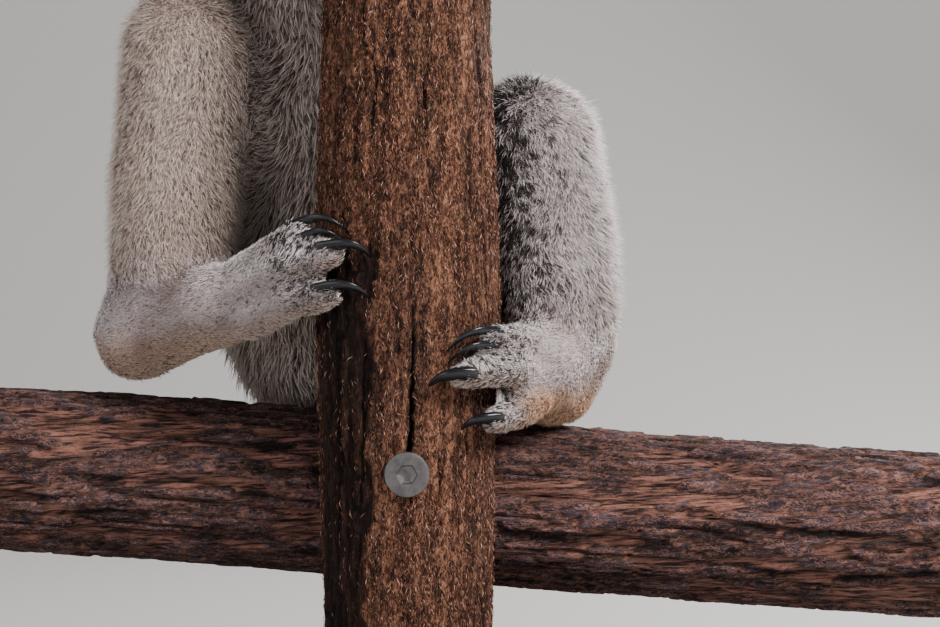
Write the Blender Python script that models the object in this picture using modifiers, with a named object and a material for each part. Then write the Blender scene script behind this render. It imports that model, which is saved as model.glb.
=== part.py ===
"""A koala squatting on a beam and clinging to a round post, as a still, life-size model on a stand.

One named object is one piece: the animal's parts, its claws, eyes and nose, the post and beam it
holds, the bolt that joins them, and the stand. Metres, +Z up. The post's axis is the Z axis and the
floor is at z = 0. The animal sits behind the post and faces -Y, so its right side is at -X.

The animal is modelled whole: rounded primitives are fused by a voxel remesh, smoothed, thinned out
and pressed against the post and beam. Thin plates then part the head, ears and hands, and outlines
of the limbs take them off the body. Its surface is the outline of the fur's tips.
"""

import math

import bmesh
import bpy
from mathutils import Euler, Matrix, Vector

MM = 0.001

# ---------------------------------------------------------------- driving dimensions, in metres
GAP = 0.35 * MM  # between pieces that touch

POST_RADII = (  # (height, radius): a natural pole, a little swollen where the feet hold it
    (0.085, 0.0430),
    (0.180, 0.0452),
    (0.265, 0.0472),
    (0.330, 0.0455),
    (0.415, 0.0424),
    (0.500, 0.0418),
    (0.600, 0.0408),
)
POST_BOTTOM = POST_RADII[0][0]
POST_SIDES = 20
BEAM_RADIUS = 0.0440
BEAM_CENTRE = Vector((0.0, 0.060, 0.1590))  # where the beam passes behind the post
BEAM_SLOPE = math.radians(4.2)  # it falls towards +X
BEAM_LEFT_END, BEAM_RIGHT_END = -0.226, 0.293  # along the beam from its centre
BEAM_SIDES = 20

BOLT_FACE = Vector((0.001, -0.0487, 0.1775))  # the middle of the head's outer face
BOLT_HEAD_RADIUS, BOLT_HEAD_THICK = 0.0113, 0.0042
BOLT_SHANK_RADIUS, BOLT_LENGTH = 0.0050, 0.1180
BOLT_HEX_ACROSS, BOLT_HEX_DEPTH = 0.0072, 0.0026

STAND_CENTRE = Vector((0.010, 0.085, 0.0))
STAND_WIDTH, STAND_DEPTH, STAND_THICK = 0.500, 0.420, 0.022
STAND_CORNER, STAND_EDGE = 0.030, 0.003
ROD_RADIUS, ROD_IN_POST, ROD_IN_BASE = 0.0125, 0.050, 0.012
ROD_COLLAR_RADIUS, ROD_COLLAR_HEIGHT = 0.032, 0.006

HEAD_CENTRE = Vector((-0.078, 0.078, 0.658))
HEAD_SCALE = 1.13
HEAD_TURN = Euler((math.radians(6), math.radians(-4), math.radians(10))).to_matrix()
EYE_RADIUS = 9.4 * MM
EYE_PLACE = (29.5, -42.0, 7.0)  # of the left eye, from the head's centre in its own millimetres
NOSE_PLACE = (0.0, -66.0, -9.0)
NOSE_RADII = (15.0, 10.0, 21.0)

VOXEL = 2.4 * MM
FLESH_TRIANGLES = 2400
FLATNESS = 0.4  # degrees: flatter neighbours are merged
CUT_OVERRUN = 1.0 * MM  # how far a round cutter runs past a face


def mm(x, y, z):
    """A point given in millimetres."""
    return Vector((x, y, z)) * MM


# Where the limbs bend. The right leg reaches out sideways to the post, and the left one stands close by it.
HIP = {"right": mm(-80, 142, 298), "left": mm(28, 146, 282)}
KNEE = {"right": mm(-121, 44, 399), "left": mm(66, 44, 350)}
ANKLE = {"right": mm(-129, 50, 264), "left": mm(80, 50, 245)}
HEEL = {"right": mm(-146, 50, 246), "left": mm(77, 52, 221)}
INSTEP = {"right": mm(-100, 20, 262), "left": mm(68, 14, 228)}
SHOULDER = {"right": mm(-140, 108, 512), "left": mm(8, 112, 508)}
ELBOW = {"right": mm(-154, 10, 468), "left": mm(92, 38, 470)}
WRIST = {"right": mm(-78, -18, 514), "left": mm(70, -12, 527)}
PALM = {"right": mm(-59, -24, 531), "left": mm(58, -22, 543)}

# Digits as the points from root to tip, in millimetres, and the radius at the root and the tip. The
# foot's first toe has no claw, and its second, which carries two claws, is two toes grown together.
TOES = {
    "right": (
        (((-88, 10, 274), (-70, 20, 284), (-58, 25, 292)), 8.5, 7.2),
        (((-84, 4, 282), (-66, -14, 293), (-54, -27, 298)), 8.5, 6.8),
        (((-80, -4, 270), (-58, -28, 283), (-36, -44, 287.5)), 10.8, 7.4),
        (((-80, -4, 254), (-58, -28, 263.5), (-38, -42, 266.5)), 10.4, 7.4),
    ),
    "left": (
        (((66, 20, 250), (56, 34, 262), (50, 40, 270)), 8.5, 7.5),
        (((64, -2, 243), (56, -18, 246.5), (43, -34, 245)), 8.8, 6.8),
        (((62, -4, 228), (52, -28, 229.5), (28, -48, 226.5)), 10.5, 7.6),
        (((66, -4, 213), (58, -22, 208.5), (44, -37, 203.5)), 10.0, 7.4),
    ),
}
FINGERS = {
    "right": (
        (((-56.5, -11.5, 542), (-48, -9.5, 566)), 7.8, 6.4),
        (((-52, -24.5, 545), (-39.5, -30, 572)), 8.2, 6.6),
        (((-51, -32, 538), (-37, -42.5, 548), (-15, -47.5, 551)), 8.8, 7.0),
        (((-53, -32, 528), (-37, -43.5, 532), (-13.5, -48, 532)), 8.8, 7.0),
        (((-57, -30.5, 518), (-40, -41, 516), (-19, -45.5, 514)), 8.4, 6.6),
    ),
    "left": (
        (((56.5, -11.5, 554), (48, -9.5, 577)), 7.8, 6.4),
        (((52, -24.5, 557), (39.5, -30, 583)), 8.2, 6.6),
        (((51, -32, 550), (37, -42.5, 559), (16, -47, 561)), 8.8, 7.0),
        (((53, -32, 540), (37, -43.5, 543), (14, -47.5, 542)), 8.8, 7.0),
        (((57, -30.5, 530), (40, -41, 527), (20, -45, 524)), 8.4, 6.6),
    ),
}
# Claws as the root inside the digit, the top of the arch and the tip on the wood, all in
# millimetres, and the radius at the root.
CLAWS = {
    "claw_foot_right_2": ((-58, -23, 301.5), (-44, -35, 306.5), (-31, -35.5, 300.5), 3.1),
    "claw_foot_right_3": ((-52, -31, 296), (-42, -43, 299.5), (-31, -39.5, 294), 2.8),
    "claw_foot_right_4": ((-41, -43, 290.5), (-28, -52, 293), (-17.5, -44.5, 286.5), 3.6),
    "claw_foot_right_5": ((-43, -42, 269.5), (-30, -51, 272.5), (-18, -44.5, 266), 3.6),
    "claw_foot_left_2": ((46, -33, 248), (34, -45.5, 249), (21.5, -42.5, 239.5), 2.9),
    "claw_foot_left_3": ((45, -34, 241), (33, -47, 241.5), (22, -42.5, 233.5), 2.9),
    "claw_foot_left_4": ((32, -49, 227), (22.5, -55, 228), (12.5, -46.3, 222), 3.6),
    "claw_foot_left_5": ((45, -38, 204.5), (37.5, -45, 205.5), (28.5, -39, 200), 3.4),
    "claw_hand_right_1": ((-49, -8.5, 563), (-49.5, -12, 577), (-40.5, -15, 586), 2.9),
    "claw_hand_right_2": ((-40.5, -29, 569), (-36.5, -35.5, 583), (-28, -33, 592), 2.9),
    "claw_hand_right_3": ((-20, -48.5, 551), (-7.5, -53.5, 553), (3.5, -43, 548), 3.1),
    "claw_hand_right_4": ((-18, -49, 532), (-5.5, -53.5, 533), (5.5, -43, 528), 3.1),
    "claw_hand_right_5": ((-24.5, -46.5, 514), (-12, -52.5, 514), (-2, -43, 508), 3.0),
    "claw_hand_left_1": ((49, -8.5, 574), (49.5, -12, 586), (40.5, -15, 594), 2.9),
    "claw_hand_left_2": ((40.5, -29, 580), (36.5, -35.5, 590), (29, -32, 598), 2.9),
    "claw_hand_left_3": ((21, -48, 561), (8.5, -53.5, 564), (-3.5, -43, 568), 3.1),
    "claw_hand_left_4": ((19, -49, 542), (9, -53, 543), (0, -43, 547), 3.1),
    "claw_hand_left_5": ((25.5, -46, 524), (14.5, -52, 522), (6, -42.5, 517), 3.0),
}
FEWEST_FACES = 40  # smaller shells are crumbs of the cutting
CLAW_SIDES = 6
CLAW_RINGS = 4
CLAW_TIP_RADIUS = 0.5 * MM

# The body from the rump to the neck: the middle and the half sizes of its rounded cross-sections,
# in millimetres.
SPINE = (
    ((-21, 131, 262), (91, 87, 82)),
    ((-32, 141, 318), (96, 91, 80)),
    ((-54, 142, 385), (97, 92, 80)),
    ((-64, 134, 460), (95, 84, 74)),
    ((-67, 120, 525), (94, 76, 62)),
    ((-72, 104, 575), (76, 65, 48)),
    ((-76, 92, 615), (66, 58, 44)),
)
SPINE_STEPS = 7

# Radii of the limbs at their joints, out to the fur's tips.
HIP_RADIUS, KNEE_RADIUS, CALF_RADIUS, ANKLE_RADIUS, HEEL_RADIUS = 0.056, 0.036, 0.0385, 0.0325, 0.0245
SHOULDER_RADIUS, ELBOW_RADIUS, WRIST_RADIUS, PALM_RADIUS = 0.042, 0.032, 0.024, 0.0195


# ---------------------------------------------------------------- helpers
def make_collection(name):
    """A new collection in the scene."""
    made = bpy.data.collections.new(name)
    bpy.context.scene.collection.children.link(made)
    return made


def make_material(name, colour, roughness, metallic=0.0):
    """A Principled material with one colour."""
    made = bpy.data.materials.new(name)
    made.use_nodes = True
    shader = made.node_tree.nodes["Principled BSDF"]
    shader.inputs["Base Color"].default_value = (*colour, 1.0)
    shader.inputs["Roughness"].default_value = roughness
    shader.inputs["Metallic"].default_value = metallic
    made.diffuse_color = (*colour, 1.0)
    return made


def object_from(bm, name, collection):
    """The bmesh as a new object."""
    mesh = bpy.data.meshes.new(name)
    bm.to_mesh(mesh)
    bm.free()
    made = bpy.data.objects.new(name, mesh)
    collection.objects.link(made)
    return made


def make_cutter(made):
    """Marks an object as a guide that only shapes others."""
    made.hide_render = True
    made.display_type = "WIRE"
    return made


def applied(made):
    """Turns the object's modifiers into its mesh."""
    graph = bpy.context.evaluated_depsgraph_get()
    mesh = bpy.data.meshes.new_from_object(made.evaluated_get(graph))
    made.modifiers.clear()
    made.data = mesh
    return made


def boolean(made, cutter, operation="DIFFERENCE"):
    """Cuts the object by the cutter, or keeps what both share."""
    step = made.modifiers.new(operation.lower(), "BOOLEAN")
    step.operation = operation
    step.solver = "EXACT"
    step.object = cutter
    return applied(made)


def frame_along(direction):
    """A rotation whose Z axis is the direction."""
    return direction.to_track_quat("Z", "Y").to_matrix().to_4x4()


def unit_ball(segments):
    """A sphere of radius 1, made once for each number of segments."""
    name = f"unit_ball_{segments}"
    if name not in bpy.data.meshes:
        bm = bmesh.new()
        bmesh.ops.create_uvsphere(bm, u_segments=segments, v_segments=segments // 2 + 2, radius=1.0)
        bm.to_mesh(bpy.data.meshes.new(name))
        bm.free()
    return bpy.data.meshes[name]


def add_ball(bm, centre, radii, turn=None, segments=20):
    """An ellipsoid."""
    size = radii if isinstance(radii, Vector) else Vector((radii, radii, radii))
    ball = unit_ball(segments).copy()
    ball.transform(Matrix.Diagonal(size).to_4x4())
    ball.transform(Matrix.Translation(centre) @ (turn or Matrix.Identity(3)).to_4x4())
    bm.from_mesh(ball)
    bpy.data.meshes.remove(ball)


def add_limb(bm, points, radii):
    """A row of balls close enough to fuse, whose radius changes evenly from joint to joint."""
    for start, end, start_radius, end_radius in zip(points, points[1:], radii, radii[1:]):
        count = max(2, math.ceil((end - start).length / (0.28 * min(start_radius, end_radius))))
        for index in range(count + 1):
            share = index / count
            radius = start_radius + (end_radius - start_radius) * share
            add_ball(bm, start.lerp(end, share), radius, segments=16)


def add_cylinder(bm, centre, direction, radius, length, sides):
    """A closed cylinder around its centre."""
    place = Matrix.Translation(centre) @ frame_along(direction)
    return bmesh.ops.create_cone(
        bm, cap_ends=True, segments=sides, radius1=radius, radius2=radius, depth=length, matrix=place
    )


def between(start, end, share):
    """The point at a share of the way."""
    return start.lerp(end, share)


def along(points, share):
    """The point at a share of the way along a smooth arch through three points."""
    first, top, last = points
    middle = 2.0 * top - 0.5 * (first + last)
    return (1 - share) ** 2 * first + 2 * share * (1 - share) * middle + share**2 * last


# ---------------------------------------------------------------- the flesh, out to the fur's tips
def head_point(x, y, z):
    """A point of the head in its own millimetres from its centre: +x its left, -y forward, +z up."""
    return HEAD_CENTRE + HEAD_TURN @ mm(x, y, z) * HEAD_SCALE


def head_ball(bm, place, radii, turn=None, segments=24, extra=0.0):
    """An ellipsoid that turns and scales with the head."""
    size = mm(*radii) * HEAD_SCALE + Vector((extra, extra, extra))
    add_ball(bm, head_point(*place), size, HEAD_TURN @ (turn or Matrix.Identity(3)), segments)


def add_trunk(bm):
    """The pear-shaped body that sits on the beam and leans up along the post, and the thick short neck."""
    for (start, start_radii), (end, end_radii) in zip(SPINE, SPINE[1:]):
        for index in range(SPINE_STEPS + 1):
            share = index / SPINE_STEPS
            size = mm(*start_radii).lerp(mm(*end_radii), share)
            add_ball(bm, mm(*start).lerp(mm(*end), share), size, segments=28)


def add_head(bm):
    """Broad skull, full cheeks, short deep muzzle, chin and brow."""
    head_ball(bm, (0, 12, 6), (56, 56, 50))
    head_ball(bm, (0, -16, 14), (48, 36, 38))
    for side in (-1, 1):
        head_ball(bm, (side * 41, -3, -15), (30, 36, 28))
        head_ball(bm, (side * 24, -34, 20), (16, 14, 11))
        head_ball(bm, (side * 11, -52, -24), (16, 17, 14))
    head_ball(bm, (0, -47, -10), (23, 24, 24))
    head_ball(bm, (0, -40, -33), (21, 22, 13))
    head_ball(bm, (0, -2, -34), (44, 34, 26))


def add_ears(bm):
    """Wide round ears that stand out from the upper sides of the head, with a shallow bowl in front."""
    for side in (-1, 1):
        tilt = Euler((math.radians(-12), math.radians(side * 32), math.radians(side * 24))).to_matrix()
        head_ball(bm, (side * 61, 16, 42), (33, 13, 33), tilt)
        head_ball(bm, (side * 46, 16, 29), (20, 15, 20), tilt)


def ear_bowl_cutter(side, guides):
    """The hollow of one ear."""
    bm = bmesh.new()
    tilt = Euler((math.radians(-12), math.radians(side * 32), math.radians(side * 24))).to_matrix()
    head_ball(bm, (side * 63, -3, 43), (22, 12, 22), tilt, segments=14)
    return make_cutter(object_from(bm, f"ear_bowl_{side}", guides))


def add_leg(bm, side):
    """Haunch, thigh, shin, heel and the foot with its digits."""
    knee, ankle, heel, instep = KNEE[side], ANKLE[side], HEEL[side], INSTEP[side]
    add_limb(bm, (HIP[side], knee), (HIP_RADIUS, KNEE_RADIUS))
    add_limb(bm, (knee, between(knee, ankle, 0.55), ankle), (KNEE_RADIUS - 0.002, CALF_RADIUS, ANKLE_RADIUS))
    add_limb(bm, (ankle, heel), (ANKLE_RADIUS, HEEL_RADIUS))
    add_limb(bm, (ankle, instep), (ANKLE_RADIUS - 0.002, 0.0225))
    add_limb(bm, (heel, instep), (0.0225, 0.0205))
    for points, root, tip in TOES[side]:
        places = [mm(*point) for point in points]
        add_limb(bm, [instep] + places, [0.016, root * MM, (root + tip) / 2 * MM, tip * MM])


def add_arm(bm, side):
    """Upper arm, forearm, palm and fingers."""
    shoulder, elbow, wrist, palm = SHOULDER[side], ELBOW[side], WRIST[side], PALM[side]
    add_limb(bm, (shoulder, elbow, wrist), (SHOULDER_RADIUS, ELBOW_RADIUS, WRIST_RADIUS))
    add_limb(bm, (wrist, palm), (WRIST_RADIUS, PALM_RADIUS))
    for points, root, tip in FINGERS[side]:
        places = [mm(*point) for point in points]
        middle = [(root + tip) / 2 * MM] * (len(places) - 2)
        add_limb(bm, [palm] + places, [0.014, root * MM] + middle + [tip * MM])


def make_flesh(guides):
    """The whole animal as one thin-triangled closed surface."""
    bm = bmesh.new()
    add_trunk(bm)
    add_head(bm)
    add_ears(bm)
    for side in ("right", "left"):
        add_leg(bm, side)
        add_arm(bm, side)
    flesh = object_from(bm, "flesh", guides)
    fuse = flesh.modifiers.new("fuse", "REMESH")
    fuse.mode = "VOXEL"
    fuse.voxel_size = VOXEL
    soften = flesh.modifiers.new("soften", "SMOOTH")
    soften.factor = 0.5
    soften.iterations = 9
    applied(flesh)
    triangles = sum(len(face.vertices) - 2 for face in flesh.data.polygons)
    thin = flesh.modifiers.new("thin", "DECIMATE")
    thin.ratio = FLESH_TRIANGLES / triangles
    return applied(flesh)


# ---------------------------------------------------------------- the perch, its bolt and the stand
def beam_point(reach):
    """A point of the beam's axis at a distance from its centre."""
    return BEAM_CENTRE + Vector((math.cos(BEAM_SLOPE), 0.0, -math.sin(BEAM_SLOPE))) * reach


def make_post(name, collection, extra=0.0):
    """The pole, turned from its radii; extra makes it stouter, as a cutter needs."""
    bm = bmesh.new()
    low, high = POST_RADII[0][0] - extra, POST_RADII[-1][0] + extra
    side = [(radius + extra, height) for height, radius in reversed(POST_RADII)]
    side[0], side[-1] = (side[0][0], high), (side[-1][0], low)
    corners = [(0.0, high), *side, (0.0, low)]
    verts = [bm.verts.new((radius, 0.0, height)) for radius, height in corners]
    for first, second in zip(verts, verts[1:]):
        bm.edges.new((first, second))
    post = object_from(bm, name, collection)
    turn = post.modifiers.new("turn", "SCREW")
    turn.steps = POST_SIDES
    turn.render_steps = POST_SIDES
    turn.use_merge_vertices = True
    turn.merge_threshold = 0.0001
    return applied(post)


def make_beam(name, collection, extra=0.0):
    """The round crossbeam; extra makes it stouter."""
    bm = bmesh.new()
    start, end = beam_point(BEAM_LEFT_END - extra), beam_point(BEAM_RIGHT_END + extra)
    add_cylinder(bm, (start + end) / 2, end - start, BEAM_RADIUS + extra, (end - start).length, BEAM_SIDES)
    return object_from(bm, name, collection)


def make_cylinder_cutter(name, guides, front, back, radius, sides=18):
    """A cylinder from one point to the other."""
    bm = bmesh.new()
    add_cylinder(bm, (front + back) / 2, back - front, radius, (back - front).length, sides)
    return make_cutter(object_from(bm, name, guides))


def make_bolt(parts, guides):
    """A flat round head with a hexagonal socket, on a plain shank that runs into the beam."""
    back = Vector((0.0, 1.0, 0.0))
    seat = BOLT_FACE + back * BOLT_HEAD_THICK
    bm = bmesh.new()
    add_cylinder(bm, (BOLT_FACE + seat) / 2, back, BOLT_HEAD_RADIUS, BOLT_HEAD_THICK, 24)
    bolt = object_from(bm, "bolt", parts)
    shank_start, shank_end = seat - back * CUT_OVERRUN, BOLT_FACE + back * BOLT_LENGTH
    shank = make_cylinder_cutter("shank", guides, shank_start, shank_end, BOLT_SHANK_RADIUS)
    boolean(bolt, shank, "UNION")
    socket_back = BOLT_FACE + back * BOLT_HEX_DEPTH
    socket_front, socket_radius = BOLT_FACE - back * CUT_OVERRUN, BOLT_HEX_ACROSS / math.sqrt(3)
    socket = make_cylinder_cutter("socket", guides, socket_front, socket_back, socket_radius, 6)
    return boolean(bolt, socket)


def bore_for_bolt(post, beam, guides):
    """A flat seat and a hole through the post, and a blind hole in the beam."""
    back = Vector((0.0, 1.0, 0.0))
    front, seat = BOLT_FACE - back * 0.01, BOLT_FACE + back * (BOLT_HEAD_THICK + GAP)
    spot = make_cylinder_cutter("spot_face", guides, front, seat, BOLT_HEAD_RADIUS + 0.0012, 24)
    hole_end = BOLT_FACE + back * (BOLT_LENGTH + 2 * GAP)
    hole = make_cylinder_cutter("bolt_hole", guides, front, hole_end, BOLT_SHANK_RADIUS + GAP)
    boolean(post, spot)
    boolean(post, hole)
    boolean(beam, hole)


def make_base(parts):
    """The flat plate, with rounded corners and softened edges."""
    bpy.ops.mesh.primitive_cube_add(size=1.0, location=(0, 0, 0))
    base = bpy.context.active_object
    base.name = "stand_base"
    for collection in list(base.users_collection):
        collection.objects.unlink(base)
    parts.objects.link(base)
    base.data.transform(Matrix.Diagonal((STAND_WIDTH, STAND_DEPTH, STAND_THICK, 1.0)))
    base.data.transform(Matrix.Translation(STAND_CENTRE + Vector((0, 0, STAND_THICK / 2))))
    bm = bmesh.new()
    bm.from_mesh(base.data)
    upright = [edge for edge in bm.edges if abs(edge.verts[0].co.z - edge.verts[1].co.z) > STAND_THICK / 2]
    bmesh.ops.bevel(bm, geom=upright, offset=STAND_CORNER, segments=4, profile=0.5, affect="EDGES")
    rim = [edge for edge in bm.edges if min(vert.co.z for vert in edge.verts) > STAND_THICK - 1e-5]
    rim = [edge for edge in rim if len(edge.link_faces) == 2 and edge.calc_face_angle() > 1.0]
    bmesh.ops.bevel(bm, geom=rim, offset=STAND_EDGE, segments=1, profile=0.5, affect="EDGES")
    bm.to_mesh(base.data)
    bm.free()
    return base


def make_rod(parts):
    """The steel rod: a spigot in the base, a collar on it, and a plain shaft up into the post."""
    top, foot = POST_BOTTOM + ROD_IN_POST, STAND_THICK + GAP
    profile = (
        (0.0, top),
        (ROD_RADIUS, top),
        (ROD_RADIUS, foot + ROD_COLLAR_HEIGHT),
        (ROD_COLLAR_RADIUS - 0.0015, foot + ROD_COLLAR_HEIGHT),
        (ROD_COLLAR_RADIUS, foot + ROD_COLLAR_HEIGHT - 0.0015),
        (ROD_COLLAR_RADIUS, foot),
        (ROD_RADIUS, foot),
        (ROD_RADIUS, foot - ROD_IN_BASE),
        (0.0, foot - ROD_IN_BASE),
    )
    bm = bmesh.new()
    verts = [bm.verts.new((radius, 0.0, height)) for radius, height in profile]
    for first, second in zip(verts, verts[1:]):
        bm.edges.new((first, second))
    rod = object_from(bm, "stand_rod", parts)
    turn = rod.modifiers.new("turn", "SCREW")
    turn.steps = 16
    turn.render_steps = 16
    turn.use_merge_vertices = True
    turn.merge_threshold = 0.0001
    return applied(rod)


# ---------------------------------------------------------------- claws, eyes and nose
def make_claw(name, collection, extra=0.0):
    """A curved, tapering claw along its arch; extra makes it stouter."""
    *points, root_radius = CLAWS[name]
    points = [mm(*point) for point in points]
    overrun = extra / (points[2] - points[0]).length
    bm = bmesh.new()
    rings = []
    for index in range(CLAW_RINGS + 1):
        share = index / CLAW_RINGS * (1 + 2 * overrun) - overrun
        centre = along(points, share)
        heading = along(points, share + 0.02) - along(points, share - 0.02)
        radius = root_radius * MM * max(1 - share, 0.0) ** 0.75 + CLAW_TIP_RADIUS * share + extra
        turn = frame_along(heading)
        ring = []
        for side in range(CLAW_SIDES):
            angle = 2 * math.pi * side / CLAW_SIDES
            flat = Vector((math.cos(angle) * 0.82, math.sin(angle), 0.0)) * radius
            ring.append(bm.verts.new(centre + turn.to_3x3() @ flat))
        rings.append(ring)
    for lower, upper in zip(rings, rings[1:]):
        for side in range(CLAW_SIDES):
            after = (side + 1) % CLAW_SIDES
            bm.faces.new((lower[side], lower[after], upper[after], upper[side]))
    bm.faces.new(tuple(reversed(rings[0])))
    bm.faces.new(tuple(rings[-1]))
    return object_from(bm, name, collection)


def make_face_pieces(collection, prefix="", extra=0.0):
    """Both eyes and the nose pad; extra makes them stouter."""
    across, forward, up = EYE_PLACE
    eye_size = (EYE_RADIUS / HEAD_SCALE / MM,) * 3
    made = []
    balls = (
        ("eye_left", (across, forward, up), eye_size, 10),
        ("eye_right", (-across, forward, up), eye_size, 10),
        ("nose", NOSE_PLACE, NOSE_RADII, 12),
    )
    for name, place, radii, segments in balls:
        bm = bmesh.new()
        head_ball(bm, place, radii, segments=segments, extra=extra)
        made.append(object_from(bm, prefix + name, collection))
    return made


# ---------------------------------------------------------------- parting the flesh
def joint_plates():
    """Thin round plates that part the head, ears and wrists: name, centre, normal and radius."""
    plates = []
    for side, sign in (("right", -1), ("left", 1)):
        elbow, wrist = ELBOW[side], WRIST[side]
        plates.append((f"wrist_{side}", between(elbow, wrist, 0.90), wrist - elbow, 0.038))
        ear_out = HEAD_TURN @ Vector((sign * 0.80, 0.0, 0.60))
        plates.append((f"ear_{side}", head_point(sign * 45, 16, 32), ear_out, 0.042))
    throat = HEAD_TURN @ Vector((0.0, -0.30, 1.0))
    plates.append(("throat", head_point(0, 14, -47), throat, 0.100))
    plates.append(("collar", mm(-72, 106, 566), Vector((0.0, -0.1, 1.0)), 0.118))
    return plates


def piece_seeds():
    """A point near the middle of each parted piece."""
    seeds = {
        "trunk": mm(-40, 135, 380),
        "neck": head_point(0, 20, -64),
        "head": head_point(0, 0, 0),
        "ear_left": head_point(66, 16, 48),
        "ear_right": head_point(-66, 16, 48),
    }
    for side in ("right", "left"):
        seeds[f"foot_{side}"] = INSTEP[side]
        seeds[f"forearm_{side}"] = between(ELBOW[side], WRIST[side], 0.5)
        seeds[f"hand_{side}"] = PALM[side]
    return seeds


def islands(bm):
    """The separate shells of a bmesh, as lists of faces."""
    seen = set()
    found = []
    for first in bm.faces:
        if first in seen:
            continue
        seen.add(first)
        shell = [first]
        for face in shell:
            for edge in face.edges:
                for other in edge.link_faces:
                    if other not in seen:
                        seen.add(other)
                        shell.append(other)
        found.append(shell)
    return found


def split_flesh(flesh, parts):
    """Each shell of the parted flesh becomes the object whose seed is nearest."""
    bm = bmesh.new()
    bm.from_mesh(flesh.data)
    seeds = piece_seeds()
    best = {}
    for shell in islands(bm):
        if len(shell) < FEWEST_FACES:
            continue
        centre = sum((face.calc_center_median() for face in shell), Vector()) / len(shell)
        name = min(seeds, key=lambda seed: (seeds[seed] - centre).length)
        if name not in best or len(shell) > len(best[name]):
            best[name] = shell
    made = []
    for name, shell in best.items():
        piece = bm.copy()
        keep = {face.index for face in shell}
        piece.faces.ensure_lookup_table()
        rest = [face for face in piece.faces if face.index not in keep]
        bmesh.ops.delete(piece, geom=rest, context="FACES")
        made.append(object_from(piece, name, parts))
    bm.free()
    return made


def tidy_mesh(made):
    """Merges the slivers and flat neighbours that cutting leaves, and makes every face a triangle."""
    bm = bmesh.new()
    bm.from_mesh(made.data)
    bmesh.ops.remove_doubles(bm, verts=bm.verts, dist=0.00004)
    bmesh.ops.dissolve_degenerate(bm, edges=bm.edges, dist=0.00004)
    bmesh.ops.dissolve_limit(bm, angle_limit=math.radians(FLATNESS), verts=bm.verts, edges=bm.edges)
    bmesh.ops.triangulate(bm, faces=bm.faces)
    bm.to_mesh(made.data)
    bm.free()
    return made


def limb_blob(name, guides, start, end, start_radius, end_radius):
    """The convex hull of two balls: a limb's own outline, a little stouter."""
    ends = bmesh.new()
    add_ball(ends, start, start_radius, segments=10)
    add_ball(ends, end, end_radius, segments=10)
    bm = bmesh.new()
    for vert in ends.verts:
        bm.verts.new(vert.co)
    ends.free()
    hull = bmesh.ops.convex_hull(bm, input=bm.verts)
    spare = hull["geom_interior"] + hull["geom_unused"]
    loose = {item for item in spare if isinstance(item, bmesh.types.BMVert)}
    bmesh.ops.delete(bm, geom=list(loose), context="VERTS")
    return make_cutter(object_from(bm, name, guides))


def limb_outlines():
    """The blobs that take each limb off the body: name, both ends and their radii."""
    outlines = []
    for side in ("right", "left"):
        knee, calf_end = KNEE[side], between(KNEE[side], ANKLE[side], 0.78)
        outlines.append((f"shin_{side}", knee, calf_end, KNEE_RADIUS + 0.003, CALF_RADIUS + 0.001))
    for side in ("right", "left"):
        hip, shoulder = HIP[side], SHOULDER[side]
        knee_end, elbow_end = between(hip, KNEE[side], 1.05), between(shoulder, ELBOW[side], 1.05)
        thigh_radii = HIP_RADIUS + 0.004, KNEE_RADIUS + 0.010
        arm_radii = SHOULDER_RADIUS + 0.004, ELBOW_RADIUS + 0.008
        outlines.append((f"thigh_{side}", hip, knee_end, *thigh_radii))
        outlines.append((f"upper_arm_{side}", shoulder, elbow_end, *arm_radii))
    return outlines


def take_limb(body, name, parts, guides, start, end, start_radius, end_radius):
    """Parts one limb from the body along its outline."""
    inner = limb_blob(name + "_inner", guides, start, end, start_radius, end_radius)
    outer = limb_blob(name + "_outer", guides, start, end, start_radius + GAP, end_radius + GAP)
    limb = bpy.data.objects.new(name, body.data.copy())
    parts.objects.link(limb)
    boolean(limb, inner, "INTERSECT")
    boolean(body, outer)
    return limb


def keep_largest(made):
    """Drops any crumb that a cut left beside the piece."""
    bm = bmesh.new()
    bm.from_mesh(made.data)
    shells = sorted(islands(bm), key=len, reverse=True)
    crumbs = [face for shell in shells[1:] for face in shell]
    bmesh.ops.delete(bm, geom=crumbs, context="FACES")
    bm.to_mesh(made.data)
    bm.free()
    return made


def shade(made, angle):
    """Smooth shading with creases left sharp."""
    made.data.shade_smooth()
    made.data.set_sharp_from_angle(angle=math.radians(angle))


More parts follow.
